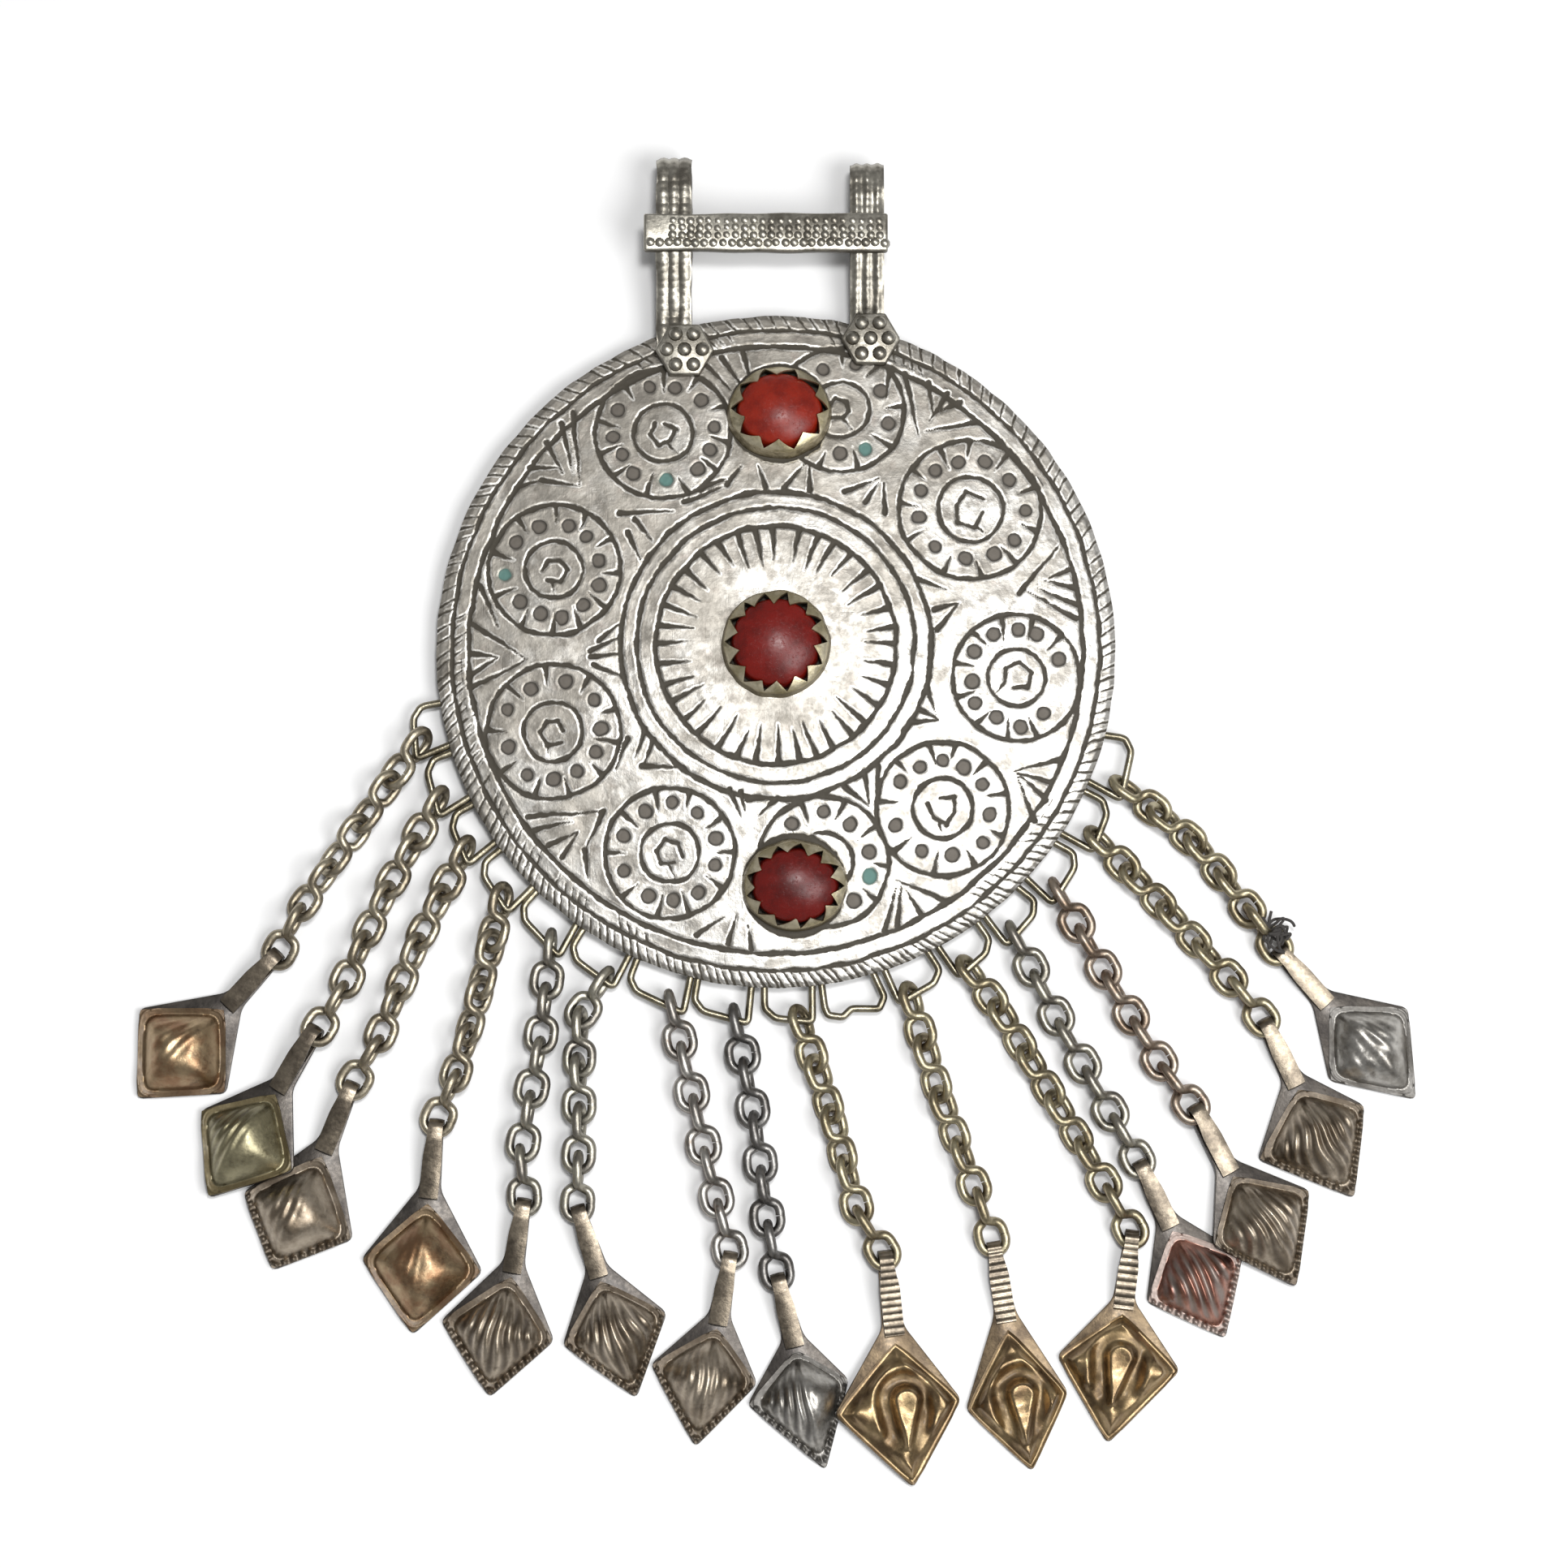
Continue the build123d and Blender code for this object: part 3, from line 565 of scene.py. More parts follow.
def engrave_rosette(row):
    """Two circles, an open ring of short cuts, dots and wedges between the circles."""
    rings.append(Ring(row.x, row.y, row.outer, CIRCLE_CUTS["outer"]))
    rings.append(Ring(row.x, row.y, row.inner, CIRCLE_CUTS["inner"]))
    turn = rng.uniform(0, 360)
    reaches = row.motif * rng.uniform(0.7, 1.2, MOTIF_CUTS + 1)
    for i in range(MOTIF_CUTS):
        start = turn + MOTIF_TURN * i
        cut_wedge(polar(row.x, row.y, start, reaches[i]),
                  polar(row.x, row.y, start + MOTIF_SPAN, reaches[i + 1]), 0.52, 0.4)
    slash = rng.uniform(200, 320)
    cut_wedge(polar(row.x, row.y, slash, row.motif),
              polar(row.x, row.y, slash + 12, row.inner * 0.85), 0.36, 0.12)
    middle = (row.outer + row.inner) / 2 + 0.1
    following = row.dots[1:] + (row.dots[0] + 360,)
    for angle, after in zip(row.dots, following):
        dots.append(Dot(*polar(row.x, row.y, angle, middle + rng.uniform(-0.35, 0.35)),
                        DOT_RADIUS * rng.uniform(0.88, 1.06), angle == row.green))
        gap = after - angle
        between = angle + gap / 2 + rng.uniform(-2, 2)
        if gap < 60:
            cut_wedge(polar(row.x, row.y, between, row.outer - 0.1),
                      polar(row.x, row.y, between + rng.uniform(-4, 4),
                            row.outer - rng.uniform(2.0, 3.1)), WEDGE_CUT)


for row in ROSETTES:
    engrave_rosette(row)
print(len(dots), "dots in", len(ROSETTES), "rosettes")

# %% [markdown]
# Between the rosettes the engraver filled the corners with leaves on the outer
# side and little fans on the inner side. Each row below is one cut, from where
# the graver went in to where it left.

# %% Leaves and fans
LEAVES = [
    (-30.8, 19.1, -27.6, 19.9), (-27.6, 19.9, -23.1, 19.1), (-24.1, 28.2, -23.1, 19.1),
    (-27.1, 24.7, -25.2, 20.7), (-29.2, 21.5, -25.7, 21.4), (-25.4, 26.9, -24.0, 20.6),
    (-35.5, 2.8, -29.2, -1.6), (-35.6, -0.8, -32.8, -1.2), (-35.8, -3.2, -32.8, -1.3),
    (-35.8, -4.8, -29.0, -1.5), (-34.8, 7.4, -32.6, 2.2),
    (-29.1, -20.0, -20.1, -19.5), (-20.1, -19.5, -22.3, -24.0), (-22.3, -24.0, -22.0, -27.5),
    (-26.5, -23.4, -23.1, -21.8), (-24.9, -24.8, -23.1, -21.9), (-28.2, -21.6, -23.8, -20.6),
    (33.4, -13.3, 27.9, -14.7), (32.2, -16.0, 28.2, -14.9), (30.3, -20.6, 28.2, -15.2),
    (31.6, -18.0, 28.4, -15.0), (19.6, -29.9, 14.1, -27.5), (14.1, -32.8, 14.8, -28.0),
    (16.9, -31.5, 15.3, -28.8), (12.6, -33.4, 14.2, -28.4),
    (28.7, 6.3, 33.8, 12.7), (35.4, 3.4, 29.5, 6.6), (35.1, 7.1, 31.6, 7.9),
    (34.3, 9.2, 32.2, 8.2), (35.5, 5.0, 30.8, 7.0),
    (15.3, 32.8, 16.9, 25.0), (18.0, 31.7, 18.5, 27.9), (21.8, 29.4, 18.5, 27.9),
    (23.6, 26.9, 17.7, 25.7), (20.2, 30.4, 18.2, 27.0),
    (-9.2, -33.9, -6.0, -31.8), (-2.8, -35.5, -3.3, -32.8), (-5.6, -35.0, -4.6, -31.4),
    (-6.4, 34.8, -3.6, 30.6), (-4.0, 35.3, -2.8, 31.6), (-8.6, 34.2, -5.4, 30.6),
    (13.4, 33.2, 13.0, 29.6),
]
FANS = [
    (-18.5, 15.8, -12.1, 15.9), (-16.7, 15.1, -14.5, 12.4), (-17.5, 13.5, -15.9, 10.0),
    (-10.8, 17.0, -5.7, 19.1), (-5.7, 19.1, -4.1, 21.5), (-9.0, 18.6, -5.2, 20.0),
    (-21.7, -0.5, -18.5, 0.8), (-21.6, -1.3, -18.5, -1.1), (-21.2, -2.3, -18.0, -3.7),
    (-20.8, 0.6, -18.2, 2.6),
    (-15.2, -9.9, -16.4, -13.3), (-14.3, -11.2, -15.3, -14.1), (-15.6, -14.3, -10.8, -14.4),
    (-17.4, -11.0, -18.8, -14.6),
    (-5.4, -17.1, -4.1, -20.3), (-4.1, -17.3, -3.7, -19.5), (-3.3, -18.2, -0.4, -18.3),
    (0.2, -18.2, -2.2, -20.3),
    (10.3, -14.9, 10.8, -18.7), (8.1, -16.8, 10.8, -19.0), (12.0, -14.4, 11.6, -18.2),
    (17.5, -4.8, 18.8, -8.3), (16.7, -7.7, 19.1, -8.8), (15.6, -9.2, 19.1, -8.9),
    (18.5, 4.2, 21.5, 5.0), (18.8, 1.8, 21.5, 5.0), (16.7, 7.9, 20.1, 6.6),
    (8.1, 18.3, 12.1, 19.9), (10.5, 17.0, 12.1, 19.4), (12.7, 15.7, 12.7, 19.4),
    (1.0, 18.8, 3.4, 21.6), (4.0, 18.4, 3.9, 21.4), (-1.2, 18.8, -2.2, 21.4),
]
CORNER_CUT = (0.72, 0.16)
for x1, y1, x2, y2 in LEAVES + FANS:
    cut_wedge((x1, y1), (x2, y2), *CORNER_CUT)
print(len(LEAVES), "leaf cuts and", len(FANS), "fan cuts")

# %% [markdown]
# The rim is worked like a rope: nearly two hundred short slanting cuts between
# the last ring and the edge. They stand wider apart at the top, where the
# engraver had more patience. In places the graver went on over the plain band.

# %% Rope rim and hatching
ROPE_PITCH = 1.42
ROPE_LEAN = 1.7
HATCHED = [(62, 80), (96, 118), (172, 246), (308, 328)]
HATCH_STEP = 1.7
HATCH_CUT = (0.28, 0.1)
angle = 0.0
while angle < 360:
    lean = ROPE_LEAN * rng.uniform(0.8, 1.2)
    cut_wedge(polar(0, 0, angle + lean, 40.2), polar(0, 0, angle, 38.3),
              rng.uniform(0.3, 0.44), rng.uniform(0.12, 0.24))
    spread = 1 + 0.3 * sin(radians(angle))
    angle += degrees(ROPE_PITCH / DISC_RADIUS) * spread * rng.uniform(0.75, 1.25)
for first, last in HATCHED:
    for angle in np.arange(first, last, HATCH_STEP):
        if rng.uniform() < 0.8:
            cut_wedge(polar(0, 0, angle + rng.uniform(0.8, 1.6), 37.9),
                      polar(0, 0, angle + rng.uniform(-0.3, 0.3), rng.uniform(36.5, 36.9)),
                      *HATCH_CUT)
print(len(wedges), "wedges in all")

# %% [markdown]
# For every vertex the plan gives one number, its depth into the nearest cut in
# millimetres, below zero outside. Numpy asks all vertices at once. The plan is
# read at a slightly shifted place, which makes every circle a little unsure, as
# a hand is. The seat of each stone counts as cut, so the silver under and round
# its collar takes the dark colour of the cuts.

# %% Reading the plan
Setting = namedtuple("Setting", "x y long short teeth")
SETTINGS = {
    "stone_top": Setting(0.4, 27.8, 0.96, 0.86, 10),
    "stone_centre": Setting(0.0, 0.0, 1.0, 1.0, 14),
    "stone_bottom": Setting(2.2, -28.2, 0.96, 0.83, 13),
}
FAR = 2.0
SEAT_RADIUS = 6.1
HAND = 0.07
CHATTER = 0.035


def engraving(x, y):
    """Depth into the nearest cut, into the nearest dot, and how green it is."""
    u = x + HAND * uneven(x, y, 5, 21) + CHATTER * uneven(x, y, 1.1, 22)
    v = y + HAND * uneven(x, y, 5, 23) + CHATTER * uneven(x, y, 1.1, 24)
    cut = np.full(len(x), -FAR)
    dot = np.full(len(x), -FAR)
    green = np.zeros(len(x))
    press = 1 + 0.2 * uneven(x, y, 3.5, 25)
    for ring in rings:
        off = np.abs(np.hypot(u - ring.x, v - ring.y) - ring.radius)
        cut = np.maximum(cut, ring.wide / 2 * press - off)
    for w in wedges:
        reach = max(abs(w.x2 - w.x1), abs(w.y2 - w.y1)) / 2 + FAR
        near = np.flatnonzero((np.abs(u - (w.x1 + w.x2) / 2) < reach)
                              & (np.abs(v - (w.y1 + w.y2) / 2) < reach))
        du, dv = u[near] - w.x1, v[near] - w.y1
        ex, ey = w.x2 - w.x1, w.y2 - w.y1
        t = np.clip((du * ex + dv * ey) / (ex * ex + ey * ey), 0, 1)
        half = (w.wide + (w.thin - w.wide) * t) / 2
        cut[near] = np.maximum(cut[near], half - np.hypot(du - t * ex, dv - t * ey))
    for seat in SETTINGS.values():
        cut = np.maximum(cut, SEAT_RADIUS - np.hypot(u - seat.x, v - seat.y))
    for d in dots:
        near = np.flatnonzero((np.abs(u - d.x) < FAR) & (np.abs(v - d.y) < FAR))
        off = np.hypot(u[near] - d.x, v[near] - d.y)
        dot[near] = np.maximum(dot[near], d.radius - off)
        if d.green:
            green[near] = np.maximum(green[near], 1 - off / (2.2 * d.radius))
    return cut, dot, green


GROOVE_DEPTH = 0.2
DOT_DEPTH = 0.2
BURR = 0.03
HAMMER = 0.06
EDGE_ROUND = 0.3
EDGE_WAVER = 0.0012


def dome_surface(x, y, cut, dot):
    """Height of the engraved and hammered dome."""
    groove = GROOVE_DEPTH * ease(cut, -0.06, 0.22)
    burr = BURR * np.exp(-np.square((cut + 0.14) / 0.12))
    punch = DOT_DEPTH * ease(dot, -0.06, 0.2) - 0.06 * ease(dot, 0.2, 0.8)
    lift = BURR * np.exp(-np.square((dot + 0.16) / 0.13))
    hammered = HAMMER * uneven(x, y, 11, 31) + 0.03 * uneven(x, y, 4, 32)
    return dome_height(np.hypot(x, y)) - groove - punch + burr + lift + hammered


print("a cut is", GROOVE_DEPTH, "mm deep")

# %% [markdown]
# The sheet is turned like a bowl. A thin upright outline of it is spun round the
# middle, with many points along the top and few underneath, and then each vertex
# is dropped to its height. One spin of the whole disc would pass 200,000
# triangles, so the disc is three rings that meet on plain bands: the medallion,
# the field and the rope rim. A long spin gets slow, so one tenth is spun first,
# and that slice is then spun in copies.

# %% Three spun rings
SLICES = 10


def spun_sheet(inner, outer, steps, spokes, edge_steps=2):
    """A closed ring, or disc, with its top at height 1 and its underside at 0."""
    bm = bmesh.new()
    outline = [(inner, 1), (outer, 1), (outer, 0), (inner, 0)]
    verts = [bm.verts.new((r, 0, z)) for r, z in outline]
    top, wall, under = (bm.edges.new(pair) for pair in zip(verts, verts[1:]))
    if inner:
        bm.edges.new((verts[3], verts[0]))
    bmesh.ops.subdivide_edges(bm, edges=[top], cuts=steps)
    bmesh.ops.subdivide_edges(bm, edges=[wall], cuts=edge_steps)
    bmesh.ops.subdivide_edges(bm, edges=[under], cuts=4)
    bmesh.ops.spin(bm, geom=bm.verts[:] + bm.edges[:], cent=(0, 0, 0), axis=(0, 0, 1),
                   angle=2 * pi / SLICES, steps=spokes // SLICES)
    bmesh.ops.spin(bm, geom=bm.verts[:] + bm.edges[:] + bm.faces[:], cent=(0, 0, 0),
                   axis=(0, 0, 1), angle=2 * pi * (SLICES - 1) / SLICES, steps=SLICES - 1,
                   use_duplicate=True)
    return settle(bm)


def engraved_ring(name, inner, outer, steps, spokes):
    """One part of the disc, engraved, with its dirt, green and painted shade stored for the
    material.
    """
    bm = spun_sheet(inner, outer, steps, spokes)
    x, y, level = places(bm).T
    cut, dot, green = engraving(x, y)
    top = level > 0.99
    r = np.hypot(x, y)
    upper = dome_surface(x, y, cut, dot)
    lower = dome_height(r) - SHEET
    upper = upper - EDGE_ROUND * ease(r, DISC_RADIUS - 0.6, DISC_RADIUS)
    wavy = np.where(r > 39.5, 1 + EDGE_WAVER * uneven(x, y, 4, 41), 1)
    move_to(bm, x * wavy, y * wavy, np.where(top, upper, lower + level * (upper - lower)))
    piece = make_piece(bm, name, ENGRAVED, "engraved_silver", SILVER, crease=75)
    paint(piece, "cut", np.where(top | (r > 39.9), cut, -FAR))
    paint(piece, "dot", np.where(top, dot, -FAR))
    paint(piece, "verdigris", green)
    # Painted shade: darker towards the upper left, lighter towards the lower right.
    paint(piece, "tarnish_and_shade", np.clip(0.5 + (0.75 * y - 0.45 * x) / 60, 0, 1))
    print(name, len(piece.data.polygons), "faces")


engraved_ring("disc_medallion", 0, 15.2, 72, 480)
engraved_ring("disc_field", 15.2, 37.1, 94, 930)
engraved_ring("disc_rope_rim", 37.1, 40.0, 17, 1200)

# %% [markdown]
# All wire here is round wire bent with pliers. A ring could be spun and its
# vertices bent, but a bevelled curve keeps the wire round through every bend, so
# each wire is a curve of a few control points, turned to a mesh at the end.

# %% Bent wire
def bend_wires(bm, wires, diameter, order=4, sides=10, fine=5):
    """Add wires to a shape. Each is a list of control points in millimetres."""
    curve = bpy.data.curves.new("wire", "CURVE")
    curve.dimensions = "3D"
    curve.bevel_depth = diameter / 2
    curve.bevel_resolution = (sides - 4) // 2
    curve.use_fill_caps = True
    for points in wires:
        spline = curve.splines.new("NURBS")
        spline.points.add(len(points) - 1)
        for target, point in zip(spline.points, points):
            target.co = (*point, 1)
        spline.order_u = order
        spline.use_endpoint_u = True
        spline.resolution_u = fine
    holder = add_object("wire", curve)
    mesh = bpy.data.meshes.new_from_object(holder)
    bm.from_mesh(mesh)
    for spent, store in ((holder, bpy.data.objects), (curve, bpy.data.curves),
                         (mesh, bpy.data.meshes)):
        store.remove(spent)
    settle(bm)


def soft_corners(corners, bends):
    """Control points that round each inner corner off over a length."""
    points = [corners[0]]
    for before, corner, after, bend in zip(corners, corners[1:], corners[2:], bends):
        for other in (before, corner, after):
            run = dist(corner, other) or 1
            share = min(bend / run, 0.45)
            points.append(tuple(a + share * (b - a) for a, b in zip(corner, other)))
    return points + [corners[-1]]


print("a link is", round(LINK_LENGTH, 2), "mm long between its tips")

# %% [markdown]
# Sixteen wire loops stand out from the rim to carry the chains. Each is one
# wire: up from a foot, round a slanting outer side and back. A row says where it
# stands, how wide, where its chain hangs and how far the far corner leans. The
# tenth loop has lost its chain and is kinked.

# %% Loops on the rim
LOOP_REACH = 4.1
LOOP_ROOT = 3.0
LEG_CLEARANCE = LINK_WIRE / 2 + LOOP_WIRE / 2 + 0.45
HOOK_GAP = 0.40
HANG_LEAD = 0.45
EdgeLoop = namedtuple("EdgeLoop", "angle span hang flare")
EDGE_LOOPS = [
    EdgeLoop(192.4, 6.4, 3.4, 0.15),
    EdgeLoop(201.5, 7.2, 3.8, 0.15),
    EdgeLoop(210.7, 6.6, 3.2, 0.15),
    EdgeLoop(220.3, 7.85, 3.1, 0.15),
    EdgeLoop(229.55, 7.7, 4.2, 0.15),
    EdgeLoop(240.1, 8.6, 3.1, 0.15),
    EdgeLoop(250.6, 8.8, 4.0, 0.15),
    EdgeLoop(261.3, 8.7, 3.2, 0.15),
    EdgeLoop(272.2, 8.0, 2.1, 0.15),
    EdgeLoop(282.0, 8.65, -1.8, 0.6),
    EdgeLoop(292.1, 7.2, -1.75, 1.0),
    EdgeLoop(302.05, 7.7, -1.8, 0.3),
    EdgeLoop(311.3, 6.2, -2.3, 1.0),
    EdgeLoop(320.95, 6.5, -2.5, 1.0),
    EdgeLoop(331.0, 8.0, -2.4, 0.2),
    EdgeLoop(341.1, 6.8, -3.5, 1.0),
]
KINKED_LOOP = 10
KINK = [(-4.3, -3.0), (-4.3, 2.6), (-3.9, 3.6), (-1.8, 4.1), (-0.2, 3.3), (3.9, 4.1),
        (5.2, 2.9), (3.9, -3.0)]


def loop_corners(loop):
    """Corners of a wire loop as (outward, sideways), sideways to its hang."""
    half = DISC_RADIUS * radians(loop.span) / 2
    reach = DISC_RADIUS + LOOP_REACH
    hang_leg = reach * radians(abs(loop.hang)) + LEG_CLEARANCE - HANG_LEAD
    return [
        (DISC_RADIUS - LOOP_ROOT, -half),
        (DISC_RADIUS + 0.55 * LOOP_REACH, -half - loop.flare),
        (DISC_RADIUS + 0.85 * LOOP_REACH, -half - loop.flare + 0.3 * LOOP_REACH),
        (reach, hang_leg),
        (DISC_RADIUS - LOOP_ROOT, half),
    ]


def on_rim(loop, outward, sideways):
    """A point of a wire loop, from its own directions to the disc's."""
    turn = radians(loop.angle)
    side = sideways if loop.hang > 0 else -sideways
    return outward * cos(turn) - side * sin(turn), outward * sin(turn) + side * cos(turn)


def edge_loop(number, loop):
    """The control points of one wire loop."""
    if number == KINKED_LOOP:
        corners = [polar(0, 0, loop.angle + side, DISC_RADIUS + out) for side, out in KINK]
        bends = [0.9] * (len(corners) - 2)
    else:
        corners = [on_rim(loop, *corner) for corner in loop_corners(loop)]
        bends = (1.6, 1.6, 1.4)
    return [(x, y, LOOP_HEIGHT) for x, y in soft_corners(corners, bends)]


for number, loop in enumerate(EDGE_LOOPS, 1):
    bm = bmesh.new()
    bend_wires(bm, [edge_loop(number, loop)], LOOP_WIRE, order=3)
    make_piece(bm, f"rim_loop_{number:02d}", WIRES["loop_wire"], "engraved_silver", SILVER)
print(len(EDGE_LOOPS), "loops on the rim")

# %% [markdown]
# A chain link is a figure eight: one wire bent to two eyes that stand at right
# angles, so that the chain lies flat either way. The wire's two ends meet in one
# eye and are left open, which shows as a fine seam. Links lie on the ground
# rolled to one side, which is why both eyes show from above. One table holds the
# chains' routes, in link pitches from their loops. The other holds each chain's
# loop, its number of links and the shape of its drop.

# %% Chain tables
CHAIN_ROUTES = {
    1: [(-1.03, -1.47), (-2.14, -3.09), (-2.58, -4.02)],
    2: [(-1.00, -1.80), (-1.74, -3.58), (-2.22, -4.34)],
    3: [(-0.88, -1.76), (-1.51, -3.48), (-2.10, -4.42)],
    4: [(-0.31, -1.43), (-0.79, -3.22), (-1.23, -4.22)],
    5: [(-0.17, -1.78), (-0.53, -3.67), (-0.42, -4.84)],
    6: [(-0.52, -0.70), (-0.40, -1.95), (-0.45, -4.37)],
    7: [(0.36, -1.49), (0.59, -2.58), (1.14, -4.69)],
    8: [(0.35, -1.82), (0.59, -3.78), (0.80, -4.87)],
    9: [(0.57, -1.67), (1.06, -3.58), (1.64, -4.43)],
    10: [(0.49, -1.68), (1.20, -3.55), (1.57, -4.66)],
    11: [(0.49, -0.62), (2.05, -3.20), (3.08, -5.02)],
    12: [(0.87, -1.73), (1.84, -3.44), (2.36, -4.34)],
    13: [(0.91, -1.61), (1.90, -3.26), (2.55, -4.12)],
    14: [(1.31, -1.35), (2.55, -2.73), (3.17, -3.51)],
    15: [(1.26, -0.93), (2.30, -2.31), (2.93, -3.17)],
}
Chain = namedtuple("Chain", "loop links roll heading length left right widest tip boteh")
CHAINS = {
    1: Chain(1, 5, 42, 225.9, 1.00, 1.07, 1.04, 0.66, 0, False),
    2: Chain(2, 5, 25, 237.2, 0.99, 0.96, 1.01, 0.64, 8, False),
    3: Chain(3, 5, 30, 246.9, 1.00, 1.00, 1.06, 0.69, 0, False),
    4: Chain(4, 5, 42, 263.8, 1.06, 1.03, 1.07, 0.66, 0, False),
    5: Chain(5, 5, 8, 260.1, 0.98, 1.06, 0.92, 0.65, 0, False),
    6: Chain(6, 5, 15, 287.3, 0.98, 0.94, 0.93, 0.62, 0, False),
    7: Chain(7, 5, 5, 259.6, 0.96, 1.01, 0.85, 0.61, 0, False),
    8: Chain(8, 5, 10, 284.0, 0.98, 1.03, 0.76, 0.57, 0, False),
    9: Chain(9, 5, 42, 277.1, 1.16, 1.19, 1.01, 0.64, -5, True),
    10: Chain(11, 5, 42, 279.5, 1.15, 0.94, 0.84, 0.68, 0, True),
    11: Chain(12, 6, 42, 263.0, 1.04, 1.03, 1.09, 0.60, 0, True),
    12: Chain(13, 5, 12, 295.9, 0.96, 0.94, 0.91, 0.64, 0, False),
    13: Chain(14, 5, 15, 299.6, 1.02, 0.90, 1.06, 0.61, -6, False),
    14: Chain(15, 5, 42, 296.7, 0.98, 1.18, 0.90, 0.59, 0, False),
    15: Chain(16, 5, 38, 312.6, 1.01, 0.88, 0.99, 0.63, 0, False),
}
print(sum(row.links for row in CHAINS.values()), "links in", len(CHAINS), "chains")

# %% [markdown]
# A chain starts just inside its loop and ends in the fold of its drop, and its
# links are spread evenly along the route. The first link and the last two are
# rolled less than the others, because loop and drop hold them flatter.

# %% Where each link lies
BAIL_SHEET = 0.5
BAIL_FOLD = LINK_WIRE / 2 + 0.25
DROP_LENGTH = 22.6
DROP_HALF_WIDTH = 6.8


def hang_point(loop):
    """Where a chain hangs: on the loop's outer run, clear of its near leg."""
    corners = loop_corners(loop)
    near, far = corners[3], corners[2]
    share = LEG_CLEARANCE / (near[1] - far[1])
    return on_rim(loop, near[0] + share * (far[0] - near[0]), near[1] - LEG_CLEARANCE)


def hang_run(loop):
    """The direction of the wire that a chain hangs on."""
    corners = [Vector((*on_rim(loop, *corner), 0)) for corner in loop_corners(loop)]
    return (corners[3] - corners[2]).normalized()


def along(route, reach):
    """The point of a route of straight runs at a distance from its start."""
    for start, end in zip(route, route[1:]):
        run = dist(start, end)
        if reach <= run or end is route[-1]:
            share = reach / run
            return tuple(a + share * (b - a) for a, b in zip(start, end))
        reach -= run


def frame_of(origin, heading, roll):
    """A frame with X along a heading and Z up, rolled about the heading."""
    up = heading.cross(Vector((0, 0, 1)).cross(heading)).normalized()
    up = Matrix.Rotation(radians(roll), 3, heading) @ up
    turn = Matrix((heading, up.cross(heading), up)).transposed().to_4x4()
    return Matrix.Translation(origin) @ turn


def axis_height(roll):
    """Height of a link's axis when it lies on the ground, rolled by an angle."""
    upright = max(cos(radians(roll)), sin(radians(roll)))
    return EYE_RADIUS * upright + LINK_WIRE / 2 + FLOOR_GAP


def drop_lift(row):
    """How far a drop's middle is raised where it is rolled over a neighbour."""
    low_side = row.left if row.tip > 0 else row.right
    return low_side * DROP_HALF_WIDTH * sin(radians(abs(row.tip)))


def link_ends(number):
    """Start, end and roll of each link of a chain."""
    row = CHAINS[number]
    loop = EDGE_LOOPS[row.loop - 1]
    hang = hang_point(loop)
    steps = CHAIN_ROUTES[number]
    route = [hang] + [(hang[0] + u * LINK_PITCH, hang[1] + v * LINK_PITCH) for u, v in steps]
    first = Vector((route[1][0] - hang[0], route[1][1] - hang[1], 0)).normalized()
    lead = (LINK_WIRE / 2 + LOOP_WIRE / 2 + HOOK_GAP) / first.cross(hang_run(loop)).length
    total = sum(dist(start, end) for start, end in zip(route, route[1:]))
    pitch = (total + lead - LINK_LENGTH) / (row.links - 1)
    shares = [0.75] + [1.0] * (row.links - 3) + [0.65, 0.1]
    ends = []
    for i, share in enumerate(shares):
        roll = share * row.roll
        reach = i * pitch - lead
        height = axis_height(roll)
        ends.append(((*along(route, reach), height),
                     (*along(route, reach + LINK_LENGTH), height), roll))
    fold_height = BAIL_SHEET + BAIL_FOLD + drop_lift(row)
    share = EYE_CENTRE / LINK_LENGTH
    lifted = (axis_height(roll) - share * fold_height) / (1 - share)
    start, end, roll = ends[-1]
    ends[-1] = ((*start[:2], lifted), (*end[:2], fold_height), roll)
    return ends


print("chain 1 starts at", [round(c, 1) for c in link_ends(1)[0][0]])

# %% [markdown]
# Every link is the same bent wire, so its points are worked out once, along X,
# and set down at each link's place. A small random squeeze keeps them hand made.

# %% Figure-eight links
SPLINE_SHRINK = 0.965
WAIST = 0.42
SEAM = 0.04
EYE_STEP = 24
CHAINS_OF_WIRE = {
    "olive_brass_wire": (1, 2, 3, 4), "brass_wire": (9, 10, 11, 14, 15),
    "grey_wire": (5, 6, 12), "silver_wire": (7,), "gunmetal_wire": (8,),
    "copper_grey_wire": (13,),
}
WIRE_OF_CHAIN = {n: wire for wire, chains in CHAINS_OF_WIRE.items() for n in chains}


def eye_arc(centre, first, last, flat):
    """Points round one eye, from one angle to another, lying flat or upright."""
    radius = EYE_RADIUS / SPLINE_SHRINK
    points = []
    steps = 1 + round(abs(last - first) / EYE_STEP)
    for angle in np.linspace(radians(first), radians(last), steps):
        along_x = centre + radius * cos(angle) + EYE_STRAIGHT / 2 * np.sign(round(cos(angle), 3))
        side = radius * sin(angle)
        points.append((along_x, side, 0) if flat else (along_x, 0, side))
    return points


def figure_eight():
    """One wire along X: an upright eye, then a flat one, with the seam in that."""
    upright, flat = EYE_CENTRE, LINK_LENGTH - EYE_CENTRE
    middle = LINK_LENGTH / 2
    return ([(flat - SEAM / 2, EYE_RADIUS, 0)] + eye_arc(flat, 95, 132, True)
            + [(middle, WAIST, WAIST)] + eye_arc(upright, 48, 312, False)
            + [(middle, -WAIST, -WAIST)] + eye_arc(flat, -132, 85, True)
            + [(flat + SEAM / 2, EYE_RADIUS, 0)])


